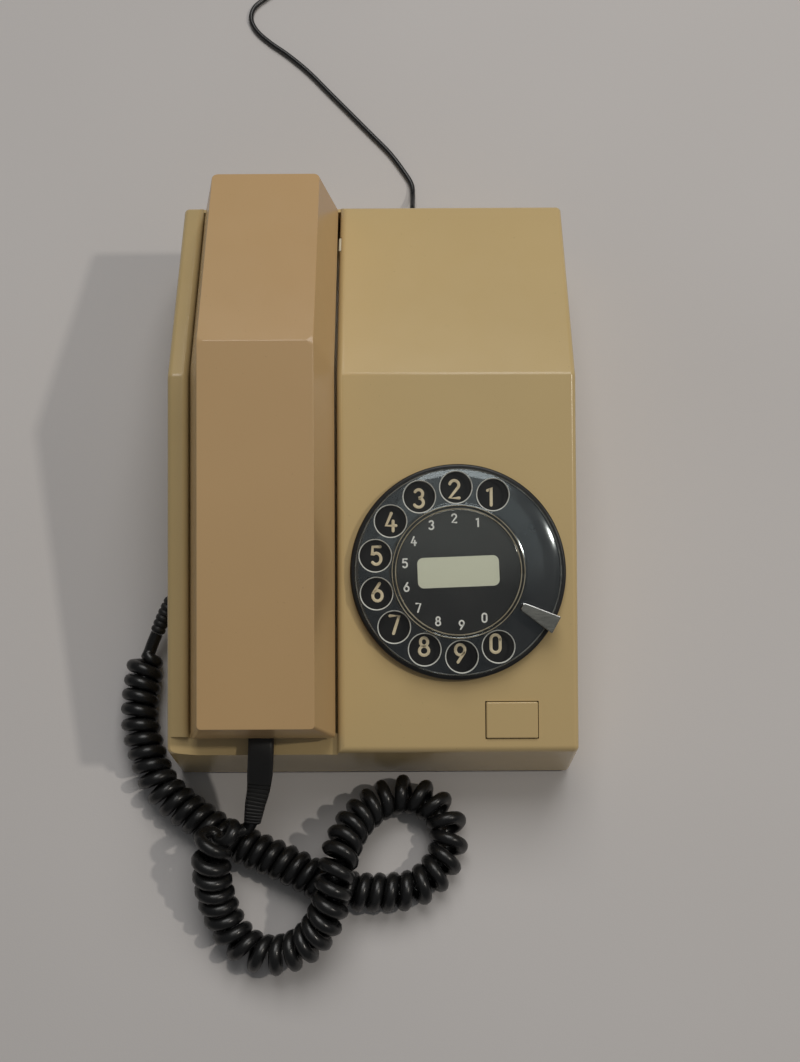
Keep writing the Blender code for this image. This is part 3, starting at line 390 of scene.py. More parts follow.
class Nodes:
    """Short way to wire one material's nodes."""

    def __init__(self, name):
        LOOK[name] = bpy.data.materials.new(name)
        LOOK[name].use_nodes = True
        self.tree = LOOK[name].node_tree
        self.shader = self.tree.nodes["Principled BSDF"]
        self.place = self.tree.nodes.new("ShaderNodeTexCoord").outputs["Object"]

    def add(self, kind, **values):
        node = self.tree.nodes.new(kind)
        for key, value in values.items():
            if key in node.inputs:
                node.inputs[key].default_value = value
            else:
                setattr(node, key, value)
        return node

    def link(self, source, target):
        self.tree.links.new(source, target)

    def noise(self, scale, detail=3.0, rough=0.55, stretch=(1, 1, 1)):
        mapping = self.add("ShaderNodeMapping", Scale=stretch)
        self.link(self.place, mapping.inputs["Vector"])
        node = self.add("ShaderNodeTexNoise", Scale=scale, Detail=detail, Roughness=rough)
        self.link(mapping.outputs["Vector"], node.inputs["Vector"])
        return node.outputs["Fac"]

    def spread(self, value, low, high, start=0.3, end=0.7):
        """value from start..end mapped to low..high."""
        node = self.add("ShaderNodeMapRange")
        node.inputs["From Min"].default_value = start
        node.inputs["From Max"].default_value = end
        node.inputs["To Min"].default_value = low
        node.inputs["To Max"].default_value = high
        self.link(value, node.inputs["Value"])
        return node.outputs["Result"]

    def blend(self, share, first, second):
        node = self.add("ShaderNodeMix", data_type="RGBA")
        for socket, value in ((node.inputs[6], first), (node.inputs[7], second)):
            if isinstance(value, tuple):
                socket.default_value = (*value, 1.0)
            else:
                self.link(value, socket)
        self.link(share, node.inputs[0])
        return node.outputs[2]

    def mottled(self, pattern, low, high):
        """A colour that wanders between two with a noise."""
        return self.blend(self.spread(pattern, 0.0, 1.0), low, high)

    def bump(self, height, distance, strength=1.0, below=None):
        node = self.add("ShaderNodeBump", Strength=strength, Distance=distance)
        self.link(height, node.inputs["Height"])
        if below is not None:
            self.link(below, node.inputs["Normal"])
        return node.outputs["Normal"]

    def finish(self, color=None, rough=None, normal=None, **values):
        for key, value in values.items():
            self.shader.inputs[key.replace("_", " ")].default_value = value
        if isinstance(color, tuple):
            self.shader.inputs["Base Color"].default_value = (*color, 1.0)
        elif color is not None:
            self.link(color, self.shader.inputs["Base Color"])
        if isinstance(rough, float):
            self.shader.inputs["Roughness"].default_value = rough
        elif rough is not None:
            self.link(rough, self.shader.inputs["Roughness"])
        if normal is not None:
            self.link(normal, self.shader.inputs["Normal"])
    def see_through(self, least):
        """A clear surface that reflects its least share seen square on and most of the light seen edge on."""
        facing = self.add("ShaderNodeLayerWeight", Blend=0.5)
        edge_on = self.add("ShaderNodeMath", operation="POWER")
        edge_on.inputs[1].default_value = 5.0
        self.link(facing.outputs["Facing"], edge_on.inputs[0])
        gloss = self.spread(edge_on.outputs[0], least, 0.9, 0.0, 1.0)
        clear = self.add("ShaderNodeBsdfTransparent")
        mix = self.add("ShaderNodeMixShader")
        self.link(gloss, mix.inputs[0])
        self.link(clear.outputs[0], mix.inputs[1])
        self.link(self.shader.outputs[0], mix.inputs[2])
        self.link(mix.outputs[0], self.tree.nodes["Material Output"].inputs["Surface"])

def shade(color, factor):
    return tuple(min(1.0, c * factor) for c in color)


def aged_plastic(name, color, stain, rough=0.22):
    """Moulded ABS that has yellowed unevenly, with a faint mould grain, fine scuffs and handling grime."""
    n = Nodes(name)
    cloudy = n.mottled(n.noise(14.0, 2.0), shade(color, 0.965), shade(color, 1.03))
    yellowed = n.blend(n.spread(n.noise(5.0, 2.0), 0.0, 0.55), cloudy, stain)
    specks = n.spread(n.noise(900.0, 2.0, 0.5), 0.0, 0.45, 0.72, 0.82)
    dirty = n.blend(specks, yellowed, shade(color, 0.55))
    gloss = n.spread(n.noise(90.0, 5.0, 0.6), rough - 0.02, rough + 0.04, 0.35, 0.75)
    grain = n.bump(n.noise(2600.0, 2.0, 0.5), 0.00004, 0.35)
    waves = n.bump(n.noise(22.0, 1.0, 0.4), 0.0004, 0.05, grain)
    n.finish(dirty, gloss, waves, Specular_IOR_Level=0.5, IOR=1.5)


def hazy_black():
    """The dial's black plastic, hazed and with dust."""
    n = Nodes("black_plastic")
    haze = n.noise(40.0, 5.0, 0.65)
    dust = n.spread(n.noise(1400.0, 2.0), 0.0, 0.35, 0.74, 0.84)
    color = n.blend(dust, n.mottled(haze, (0.008, 0.008, 0.0085), (0.014, 0.014, 0.014)), (0.09, 0.09, 0.085))
    n.finish(color, n.spread(haze, 0.26, 0.44), n.bump(n.noise(1800.0, 2.0), 0.00003, 0.3))


def clear_look(name, least, low, high):
    n = Nodes(name)
    gloss = n.spread(n.noise(40.0, 4.0, 0.6, (1.0, 2.0, 1.0)), 0.10, 0.16, 0.4, 0.75)
    n.finish(n.mottled(n.noise(25.0), low, high), gloss, Metallic=1.0)
    n.see_through(least)


def dusty_cord():
    n = Nodes("cord_pvc")
    grain = n.noise(500.0, 3.0, 0.6)
    dusty = n.spread(n.noise(90.0, 4.0, 0.6), 0.0, 0.12, 0.45, 0.8)
    color = n.blend(dusty, (0.0085, 0.0085, 0.0088), (0.05, 0.049, 0.046))
    n.finish(color, n.spread(grain, 0.24, 0.38), n.bump(grain, 0.00005, 0.25))


def simple_look(name, low, high, pattern, rough, relief=None, rough_pattern=None, relief_pattern=None,
                **values):
    """Colour, roughness and relief follow noises, the last two the colour's own unless another is given."""
    n = Nodes(name)
    color = n.mottled(n.noise(*pattern), low, high)
    gloss = n.spread(n.noise(*(rough_pattern or pattern)), *rough)
    bumps = n.bump(n.noise(*(relief_pattern or pattern)), *relief) if relief else None
    n.finish(color, gloss, bumps, **values)


def build_materials():
    aged_plastic("case_plastic", (0.62, 0.465, 0.222), (0.59, 0.43, 0.212))
    aged_plastic("handset_plastic", (0.57, 0.38, 0.19), (0.585, 0.365, 0.165), 0.23)
    hazy_black()
    clear_look("clear_plastic", 0.070, (0.74, 0.86, 0.91), (0.84, 0.92, 0.94))
    clear_look("cover_plastic", 0.050, (0.84, 0.87, 0.82), (0.90, 0.92, 0.86))
    dusty_cord()
    simple_look("base_plastic", (0.035, 0.035, 0.036), (0.055, 0.054, 0.052), (30.0,), (0.45, 0.62),
                (0.0001, 0.5), (80.0,), (900.0, 3.0))
    simple_look("ivory_plastic", (0.60, 0.55, 0.40), (0.70, 0.64, 0.48), (60.0,), (0.35, 0.5), (0.00004, 0.3),
                (150.0,), (1500.0,))
    simple_look("digit_paint", (0.66, 0.56, 0.37), (0.78, 0.68, 0.47), (420.0, 3.0), (0.4, 0.6),
                (0.00003, 0.4), (300.0,), (2500.0,))
    simple_look("card_print", (0.92, 0.92, 0.86), (0.98, 0.98, 0.92), (420.0, 3.0), (0.45, 0.6),
                (0.00003, 0.3), (300.0,), (2500.0,))
    simple_look("label_paper", (0.72, 0.74, 0.57), (0.78, 0.80, 0.63), (700.0, 5.0, 0.7, (1.0, 3.0, 1.0)),
                (0.55, 0.7), (0.00003, 0.4))
    rubber = (700.0, 4.0, 0.6)
    simple_look("black_rubber", (0.010, 0.010, 0.010), (0.022, 0.021, 0.020), (45.0,), (0.42, 0.6),
                (0.00005, 0.5), rubber, rubber)
    simple_look("board", (0.20, 0.12, 0.045), (0.29, 0.19, 0.08), (400.0, 4.0, 0.6, (1.0, 5.0, 1.0)),
                (0.45, 0.6), (0.00003, 0.4))
    # pale metal for the rod along the finger stop's upper edge: a painted highlight standing in for the edge's
    # glint
    simple_look("stop_edge_highlight", (0.86, 0.86, 0.84), (0.93, 0.93, 0.91), (300.0, 3.0, 0.6), (0.3, 0.42),
                Metallic=1.0)
    for name, low, high, scale, rough in (
        # pale ring round each finger hole: a painted highlight on the hole edges
        ("hole_rim_highlight", (0.55, 0.56, 0.52), (0.75, 0.76, 0.70), 900.0, (0.22, 0.40)),
        ("collar_plastic", (0.24, 0.20, 0.13), (0.46, 0.42, 0.31), 120.0, (0.2, 0.35)),
        # dark line at the wheel's rim: painted shade
        ("painted_rim_shade", (0.08, 0.085, 0.08), (0.22, 0.225, 0.21), 120.0, (0.2, 0.35)),
    ):
        simple_look(name, low, high, (scale, 4.0, 0.6), rough, (0.00003, 0.3), IOR=1.49)
    brushed = (260.0, 4.0, 0.6, (1.0, 14.0, 1.0))
    for name, low, high, rough in (
        ("steel", (0.42, 0.42, 0.41), (0.58, 0.58, 0.57), (0.28, 0.46)),
        ("dull_steel", (0.37, 0.365, 0.33), (0.46, 0.455, 0.41), (0.18, 0.28)),
        ("brass", (0.62, 0.44, 0.18), (0.76, 0.58, 0.28), (0.25, 0.43)),
        ("copper", (0.55, 0.22, 0.10), (0.72, 0.34, 0.18), (0.35, 0.53)),
    ):
        simple_look(name, low, high, brushed, rough, (0.00002, 0.25), Metallic=1.0)


build_materials()
SLOT_OF = {part["node"]: part["material_slot"] for part in frame["record"]["subparts"]}


def dress_nodes():
    """Every carried-over CAD node gets its slot's procedural material."""
    for name, node in frame["nodes"].items():
        node.data.materials.clear()
        node.data.materials.append(LOOK[SLOT_OF[name]])


def show(piece, body, slot, *nodes):
    """piece rides on body and stands for the CAD nodes, which it hides; slot is not used."""
    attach(piece, body)
    if nodes:
        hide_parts(*nodes)
    return piece

def middle_of(node):
    low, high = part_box(node)
    return [(a + b) / 2 for a, b in zip(low, high)]
# ---------------------------------------------------------------- cords

WIRE_RADIUS = 2.5 * MM
CURL_RADIUS = 5.15 * MM
STEPS_PER_TURN = 22
BOOT_TIP = (-46.2, -132.8, 20.0)
# Middle line of the curly cord, in millimetres, from the case's relief to the boot's tip.
CURL_ROUTE = [
    (-91.4, -69.8, 8.1), (-92.6, -77.4, 7.9), (-93.2, -85.4, 7.9), (-93.0, -93.4, 7.9),
    (-91.2, -101.4, 7.9), (-88.4, -109.4, 7.9), (-85.2, -116.6, 7.9), (-80.2, -122.6, 7.9),
    (-74.2, -127.6, 7.9), (-66.4, -133.0, 7.9), (-58.0, -138.6, 7.9), (-47.5, -143.2, 7.9),
    (-37.0, -147.6, 7.9), (-26.5, -152.6, 7.9), (-17.0, -157.2, 7.9), (-6.0, -159.4, 7.9),
    (6.0, -159.6, 7.9), (14.5, -158.4, 7.9), (21.5, -154.2, 7.9), (26.2, -148.4, 7.9),
    (28.6, -141.8, 7.9), (28.4, -134.6, 7.9), (24.6, -128.6, 7.9), (18.6, -124.4, 8.0),
    (11.0, -122.6, 8.7), (3.6, -124.8, 10.4), (-3.4, -129.4, 13.2), (-8.4, -135.2, 17.0),
    (-11.4, -141.6, 20.8), (-13.4, -149.0, 23.6), (-15.0, -156.8, 23.9), (-16.6, -164.4, 22.0),
    (-19.6, -171.4, 18.6), (-24.6, -177.2, 14.8), (-31.2, -181.0, 11.6), (-38.8, -182.4, 9.2),
    (-46.0, -180.8, 8.1), (-52.0, -176.6, 8.1), (-56.6, -170.0, 9.8), (-59.6, -162.4, 13.4),
    (-61.0, -154.8, 18.0), (-61.2, -147.6, 22.0), (-60.4, -141.4, 23.7), (-58.8, -136.6, 23.8),
]
# The wire between the last turn and the boot's tip.
CURL_END = [(-53.2, -136.9, 19.8), (-48.8, -135.9, 17.4)]
LEAD_ROUTE = [(-87.3, -58.9, 11.1), (-89.4, -63.8, 9.6), (-91.2, -69.2, 8.2)]
RELIEF_ROUTE = [(-74.4, -44.0, 15.5), (-77.4, -44.0, 15.5), (-80.6, -46.0, 14.9), (-84.2, -52.0, 12.9),
                (-87.1, -58.5, 11.3)]
CLOSE_LENGTH = 5.0 * MM  # along which the first and last turns open and close
STRAIGHT_END = 9.0 * MM
BOOT_DROP = 0.9 * MM  # of the boot's middle below the handset's datum
BOOT_HALF_THICK = 2.6 * MM
BOOT_RIBS_FROM = 0.52  # share of the boot's length

# Line cord: out of the rear wall, down to the surface and away.
LINE_RADIUS = 1.1 * MM
LINE_EXIT = (16.6 * MM, 107.0 * MM, 9.2 * MM)
LINE_FRAME = placed(LINE_EXIT, -pi / 2)
LINE_ROUTE = [
    (16.6, 125.9, 9.2), (16.6, 130.0, 8.6), (16.7, 135.0, 5.6), (16.8, 140.6, 2.6), (16.3, 146.6, 1.4),
    (12.6, 153.4, 1.3), (6.6, 162.2, 1.3), (-2.0, 172.0, 1.3), (-11.2, 182.4, 1.3), (-20.8, 193.2, 1.3),
    (-30.2, 203.8, 1.3), (-39.6, 212.6, 1.3), (-48.2, 219.4, 1.3), (-54.4, 225.6, 1.3), (-57.4, 232.2, 1.3),
    (-56.0, 238.4, 1.3), (-50.6, 243.6, 1.3), (-43.6, 249.2, 1.5), (-37.6, 255.8, 1.8),
    (-33.2, 262.9, 2.1),
]
COIL_CENTER = (-14.0, 270.0)
COIL_RADIUS = 13.2
COIL_LAYERS = 4
COIL_TURNS = 4.0
COIL_STEP = 2.2
COIL_START = 170.0
COIL_END = 95.0
COIL_END_TURNS = 17 + (COIL_START - COIL_END) / 360.0
COIL_LOWEST = 2.12
COIL_LIFT = 2.25
TAIL_ROUTE = [(-3.9, 287.6, 8.8), (0.6, 284.6, 7.8), (5.2, 280.6, 5.6), (9.4, 276.4, 4.3)]


def curl_path():
    """Centre of the wire: a short straight lead, then turns that open where the cord bends."""
    middle = smooth_route(millimetres(LEAD_ROUTE[:2] + CURL_ROUTE + CURL_END + [BOOT_TIP]), 0.4 * MM)
    spots = frames_along(middle)
    step = path_length(middle) / (len(middle) - 1)
    look_round = round(6 * MM / step)
    last = len(spots) - 1
    total = step * last
    lead = (Vector(LEAD_ROUTE[2]) - Vector(LEAD_ROUTE[0])).length * MM + 2 * MM
    out = []
    angle = radians(200)
    next_mark = 0.0
    for n, (point, side, over, ahead) in enumerate(spots):
        walked = n * step
        before = spots[max(n - look_round, 0)][3]
        after = spots[min(n + look_round, last)][3]
        reach = step * (min(n + look_round, last) - max(n - look_round, 0))
        bend = before.angle(after, 0.0) / reach
        pitch = max(5.25 * MM, 5.1 * MM / max(0.4, 1 - bend * CURL_RADIUS))
        opening = (walked - lead * 0.6) / CLOSE_LENGTH
        closing = (total - STRAIGHT_END - walked) / CLOSE_LENGTH
        opened = max(0.0, min(1.0, opening, closing))
        opened = opened * opened * (3 - 2 * opened)
        if walked > lead * 0.5:
            angle -= 2 * pi * step / pitch
        if n == last or abs(angle) >= next_mark or opened < 0.99 and n % 4 == 0:
            out.append(point + (side * cos(angle) + over * sin(angle)) * CURL_RADIUS * opened)
            next_mark = abs(angle) + 2 * pi / STEPS_PER_TURN
    return out


def build_curly_cord():
    """The handset's cord: one wire wound into a long spring, with its two strain reliefs."""
    relief = ribbed_relief()
    boot = flat_boot()
    path = curl_path()
    curl = swept("handset_curly_cord", path, [WIRE_RADIUS] * len(path), "cord_pvc", 12)
    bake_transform(curl)
    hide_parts("handset_cord", "handset_cord_lead")


def ribbed_relief():
    """Tapered rubber sleeve with rings, where the curly cord leaves the case."""
    route = smooth_route(millimetres(RELIEF_ROUTE), 0.25 * MM)
    radii = []
    for n in range(len(route)):
        share = n / (len(route) - 1)
        ring = 0.5 + 0.5 * cos(2 * pi * share * 9.0)
        plain = 1.0 if share < 0.18 else 0.0
        radii.append((3.35 - 0.45 * share) * MM - (0.5 * MM * ring**3) * (1 - plain))
    piece = swept("case_cord_relief", route, radii, "black_rubber", 24)
    return show(piece, "root", "black_rubber", "base_cord_relief")


def flat_boot():
    """Flat rubber strap out of the handset's end, ribbed and narrowing towards the cord."""
    start = Vector((HANDSET_X - 1.0 * MM, HANDSET_FRONT + 4.5 * MM, rest_height(HANDSET_FRONT) - BOOT_DROP))
    rest = millimetres([(-42.6, -120.5, 33.5), (-44.6, -127.4, 27.4), BOOT_TIP])
    path = smooth_route([start, start + Vector((0, -9 * MM, 0)), *rest], 0.3 * MM)
    rings = []
    last = len(path) - 1
    for n, point in enumerate(path):
        share = n / last
        ahead = (path[min(n + 1, last)] - path[max(n - 1, 0)]).normalized()
        over = Vector((1, 0, 0))
        over = (over - ahead * over.dot(ahead)).normalized()
        up = over.cross(ahead)
        groove = 0.0
        if share > BOOT_RIBS_FROM:
            groove = 0.6 * MM * max(0.0, cos(2 * pi * (share - BOOT_RIBS_FROM) * 23.0)) ** 3
        wide = (4.7 - 1.5 * max(0.0, share - 0.45) / 0.55) * MM - groove
        thick = BOOT_HALF_THICK * (1 - 0.08 * share) - groove
        outline = rounded_box(wide, thick, 1.3 * MM)
        rings.append([point + over * across + up * high for across, high in outline])
    piece = smooth(loft("handset_cord_boot", rings, "black_rubber"), 50)
    return show(piece, "handset", "black_rubber", "handset_boot")


def coil_points():
    """The neat coil: flat spirals in layers, in and out in turn, wound clockwise."""
    rise = (COIL_END_TURNS - COIL_LAYERS * COIL_TURNS) / (COIL_LAYERS - 1)
    out = []
    steps = round(COIL_END_TURNS * 20)
    half = COIL_TURNS * COIL_STEP / 2
    for n in range(steps + 1):
        turn = COIL_END_TURNS * n / steps
        layer = min(COIL_LAYERS - 1, int(turn / (COIL_TURNS + rise)))
        inside = turn - layer * (COIL_TURNS + rise)
        share = min(1.0, inside / COIL_TURNS)
        lift = max(0.0, inside - COIL_TURNS) / rise
        travel = 2 * share - 1
        radius = COIL_RADIUS + half * (travel if layer % 2 else -travel)
        height = COIL_LOWEST + COIL_LIFT * (layer + lift * lift * (3 - 2 * lift))
        a = radians(COIL_START) - 2 * pi * turn
        out.append((COIL_CENTER[0] + radius * cos(a), COIL_CENTER[1] + radius * sin(a), height))
    return out
def build_line_cord():
    points = smooth_route(millimetres(LINE_ROUTE + coil_points() + TAIL_ROUTE), 1.6 * MM)
    data = bpy.data.curves.new("line_cord", "CURVE")
    data.dimensions = "3D"
    data.bevel_depth = LINE_RADIUS
    data.bevel_resolution = 3
    data.use_fill_caps = True
    spline = data.splines.new("POLY")
    spline.points.add(len(points) - 1)
    for place, point in zip(spline.points, points):
        place.co = (*point, 1.0)
    spline.use_smooth = True
    line = add_object("line_cord_whole", data, "cord_pvc")
    show(line, "root", "cord_pvc", "line_cord", "line_cord_coil", "line_cord_tail")
    build_gland()
    build_plug()
    build_tie()


def build_gland():
    """The line cord's ribbed relief at the rear wall."""
    profile = [(0, 0), (4.0, 0), (4.0, 1.6), (3.0, 1.6), (3.0, 6.6), (4.0, 6.8)]
    for k in range(9):
        radius = 3.8 - 1.6 * k / 8
        inner = radius - 0.45
        height = 7.4 + 1.2 * k
        profile += [(radius, height), (radius, height + 0.7), (inner, height + 0.8), (inner, height + 1.1)]
    profile += [(1.9, 18.6), (0, 18.6)]
    piece = turned("line_cord_gland", in_mm(profile), "black_rubber", LINE_FRAME, 32)
    return show(piece, "root", "black_rubber", "line_gland")


def build_plug():
    """Small clear modular plug with a latch and gold contacts."""
    ahead = Vector(TAIL_ROUTE[-1]) - Vector(TAIL_ROUTE[-2])
    place = placed((TAIL_ROUTE[-1][0] * MM, TAIL_ROUTE[-1][1] * MM, 0), atan2(ahead.y, ahead.x), "Z")
    side = [(0.5, 1.0), (12.0, 1.0), (12.0, 7.6), (10.6, 7.6), (9.8, 8.4), (3.0, 10.2), (2.2, 9.6),
            (8.6, 7.6), (0.5, 7.6)]
    rings = [[(a, y, b) for a, b in in_mm(side)] for y in (-4.8 * MM, 4.8 * MM)]
    body = loft("line_plug_body", rings, "clear_plastic", place)
    round_edges(body, 0.25 * MM, 2, lambda e: convex(e, 30))
    show(body, "root", "clear_plastic", "line_plug")
    strips = []
    for k in range(4):
        y = (k - 1.5) * 1.1 * MM
        low = (8.6 * MM, y - 0.25 * MM, 0.85 * MM)
        strips.append(block("strip", low, (11.9 * MM, y + 0.25 * MM, 1.6 * MM), "brass", place))
    contacts = joined("line_plug_contacts", strips)
    show(contacts, "root", "brass")
    contacts.parent = body
    contacts.matrix_parent_inverse = Matrix.Identity(4)
    return body


def build_tie():
    """Flat tie round the coil's section."""
    middle = Vector((COIL_CENTER[0] + COIL_RADIUS, COIL_CENTER[1], 5.5)) * MM
    outline = rounded_box(6.15 * MM, 5.0 * MM, 1.6 * MM)
    section = in_mm([(-1.6, -0.2), (1.6, -0.2), (1.6, 0.2), (-1.6, 0.2)])
    rings = []
    for x, z in [*outline, outline[0]]:
        away = Vector((x, 0, z))
        rings.append([middle + away + Vector((0, y, 0)) + away.normalized() * r for y, r in section])
    piece = smooth(loft("coil_tie_strap", rings, "black_rubber"), 50)
    return show(piece, "root", "black_rubber", "coil_tie")


# ---------------------------------------------------------------- case


LUG_SINK = 1.3 * MM
REACH = 9 * MM  # of the cutting tools above and below what they open
DIAL_OPENING = 33.5 * MM


def slope_ring(y, left, right, top, bottom, end=0.0, draft=0.0):
    y_low = y + end
    return [(left - draft, y_low, bottom), (right + draft, y_low, bottom), (right, y, top), (left, y, top)]


def case_hollow(name, left, right, below_face):
    front = -CASE_HALF_DEPTH + WALL
    rear = CASE_HALF_DEPTH - WALL
    bottom = -1.0 * MM
    rings = [
        slope_ring(front, left, right, face_height(front) - below_face, bottom, -END_DRAFT * 0.8),
        slope_ring(RIDGE_Y, left, right, RIDGE_HEIGHT - below_face, bottom),
        slope_ring(rear, left, right, face_height(rear) - below_face, bottom, END_DRAFT * 0.8),
    ]
    return loft(name, rings, None)


def channel_right(depth):
    """X of the channel's right wall at a depth below the face."""
    return CHANNEL_RIGHT + 0.2 * MM - (CHANNEL_DRAFT + 0.2 * MM) * (depth + OVER) / (CHANNEL_DEPTH + OVER)


def channel_ring(y, depth, left=None):
    """Outline across the channel at y, with its floor at a depth and sides that round over into the face.

    left gives the x of a plain left side at the floor and at the face."""
    wall = channel_right(RIM_RADIUS)
    lowest = asin(1 - min(1.0, 0.95 * depth / RIM_RADIUS))
    side = [(channel_right(depth), depth)]
    for k in range(RIM_STEPS + 1):
        a = lowest + (radians(88) - lowest) * k / RIM_STEPS
        side.append((wall + RIM_RADIUS * (1 - cos(a)), RIM_RADIUS * (1 - sin(a))))
    side.append((side[-1][0] + 0.05 * MM, -OVER))
    top = face_height(y)
    right_points = [(x, y, top - down) for x, down in side]
    left_points = []
    for x, down in side:
        if left:
            x = left[0] + (left[1] - left[0]) * (depth - down) / depth
        else:
            x = CHANNEL_LEFT + CHANNEL_RIGHT - x
        left_points.append((x, y, top - down))
    return right_points + left_points[::-1]


def channel_cutter():
    """The channel, the lowered ledge in front of it and the shallow one behind it."""
    step = 0.05 * MM
    beyond = 8 * MM
    slanted = (LEDGE_LEFT_LOW, LEDGE_LEFT_HIGH)
    rings = [
        channel_ring(-CASE_HALF_DEPTH - beyond, LEDGE_DROP, slanted),
        channel_ring(LEDGE_REAR, LEDGE_DROP, slanted),
        channel_ring(LEDGE_REAR + step, LEDGE_DROP), channel_ring(CHANNEL_FRONT, LEDGE_DROP),
        channel_ring(CHANNEL_FRONT + step, CHANNEL_DEPTH), channel_ring(RIDGE_Y, CHANNEL_DEPTH),
        channel_ring(CHANNEL_REAR, CHANNEL_DEPTH), channel_ring(CHANNEL_REAR + step, REAR_LEDGE_DROP),
        channel_ring(CASE_HALF_DEPTH + beyond, REAR_LEDGE_DROP),
    ]
    return loft("channel", rings, None)


def build_case():
    half = CASE_HALF_WIDTH
    falls = tan(TILT) + (RIDGE_HEIGHT - REAR_HEIGHT) / (CASE_HALF_DEPTH - RIDGE_Y)
    before, behind = RIDGE_Y - RIDGE_EASE, RIDGE_Y + RIDGE_EASE
    sections = [
        (-CASE_HALF_DEPTH, FRONT_HEIGHT, -END_DRAFT), (before, face_height(before), 0.0),
        (RIDGE_Y, RIDGE_HEIGHT - RIDGE_EASE * falls / 4, 0.0), (behind, face_height(behind), 0.0),
        (CASE_HALF_DEPTH, REAR_HEIGHT, END_DRAFT),
    ]
    rings = [slope_ring(y, -half, half, top, SHELL_BOTTOM, end, SIDE_DRAFT) for y, top, end in sections]
    case = loft("case_body", rings, "case_plastic")
    round_edges(case, CASE_ROUNDING, 6, lambda e: convex(e, 25) and highest(e) > 6 * MM, False, False)
    cut(case, channel_cutter())

    right_wall = CHANNEL_RIGHT + WALL + 1.0 * MM
    button = Vector((9.9 * MM, 7.0 * MM, REACH))
    hook_x, hook_y, _ = middle_of("hook_plunger")
    floor = face_height(hook_y) - CHANNEL_DEPTH
    relief_frame = placed((0, -44.0 * MM, 15.5 * MM), -pi / 2, "Y")
    cut(
        case,
        case_hollow("right_hollow", right_wall, half - WALL, WALL),
        case_hollow("left_hollow", -half + WALL, right_wall + 1 * MM, CHANNEL_DEPTH + WALL),
        drill(DIAL_OPENING, -REACH, REACH, DIAL_FRAME, 96),
        block("button_opening", -button, button, None, button_frame()),
        plate("plunger_opening", circle(4.3 * MM, 32, (hook_x, hook_y)), floor - REACH, floor + REACH, None),
        lug_solid("lug_pocket", CHANNEL_RIGHT - 3 * MM, GAP, None),
        drill(3.3 * MM, -7 * MM, 13 * MM, LINE_FRAME),
        drill(3.7 * MM, 66 * MM, 84 * MM, relief_frame),
    )
    even_normals(smooth(case))
    return show(case, "root", "case_plastic", "case_shell")


def highest(edge):
    return max(v.co.z for v in edge.verts)


def button_frame():
    y = -98.2 * MM
    return placed((middle_of("recall_button")[0], y, face_height(y)), TILT)


def build_button():
    x, y = 9.6 * MM, 6.7 * MM
    cap = block("recall_button_cap", (-x, -y, -2.4 * MM), (x, y, 0.9 * MM), "case_plastic", button_frame())
    round_edges(cap, 0.55 * MM, 4, lambda e: convex(e, 30))
    even_normals(cap)
    show(cap, "recall", "case_plastic", "recall_button")


def lug_solid(name, left, gap, look):
    """The lug from x left, or its pocket, with a top that follows the case's fall."""
    low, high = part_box("handset_lug")
    rings = []
    for y in (low[1] - gap, high[1] + gap):
        top = face_height(y) - LUG_SINK + gap
        rings.append([(left, y, low[2] - gap), (high[0] + gap, y, low[2] - gap), (high[0] + gap, y, top),
                      (left, y, top)])
    return loft(name, rings, look)


def build_lug():
    lug = lug_solid("handset_lug_clip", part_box("handset_lug")[0][0], 0.0, "ivory_plastic")
    round_edges(lug, 0.6 * MM, 4, lambda e: convex(e, 30))
    show(lug, "root", "ivory_plastic", "handset_lug")


def build_feet():
    profile = [(0, 0), (5.6, 0), (7.0, 0.9), (7.0, 2.3), (2.5, 2.3), (2.5, 5.1), (3.4, 5.1), (2.2, 7.4),
               (0, 7.4)]
    profile = rounded_profile(in_mm(profile), 0.4 * MM, 3)
    for n in range(4):
        x, y, _ = middle_of(f"foot_{n + 1}")
        foot = turned(f"rubber_foot_{n + 1}", profile, "black_rubber", Matrix.Translation((x, y, 0)), 36)
        show(foot, "root", "black_rubber", f"foot_{n + 1}")


# ---------------------------------------------------------------- handset


def handset_ring(y, inset, top, bottom, flare=0.0):
    high = HANDSET_TOP_HALF - inset
    low = HANDSET_SPLIT_HALF - inset + flare
    return across_handset(y, low, bottom, high, top)


def across_handset(y, low_half, bottom, high_half, top):
    return [(HANDSET_X - low_half, y, bottom), (HANDSET_X + low_half, y, bottom),
            (HANDSET_X + high_half, y, top), (HANDSET_X - high_half, y, top)]


def handset_front_solid(name, inset, look):
    rings = []
    slope = (HANDSET_SPLIT_HALF - HANDSET_TOP_HALF) / (HANDSET_RISE - HANDSET_SPLIT)
    extra = 4 * MM if inset else 0.0
    for y in (HANDSET_FRONT + inset, HANDSET_RIDGE_Y, HANDSET_REAR - inset):
        face = rest_height(y)
        top = face + HANDSET_RISE - inset
        rings.append(handset_ring(y, inset, top, face + HANDSET_SPLIT - extra, extra * slope))
    return loft(name, rings, look)


def upright(edge):
    first, last = (v.co for v in edge.verts)
    return abs(first.z - last.z) > 12 * MM and abs(first.y - last.y) < 1 * MM


def above_split(edge, least):
    """Whether the whole edge is higher over the handset's datum than least."""
    return all(v.co.z - rest_height(v.co.y) > least for v in edge.verts)


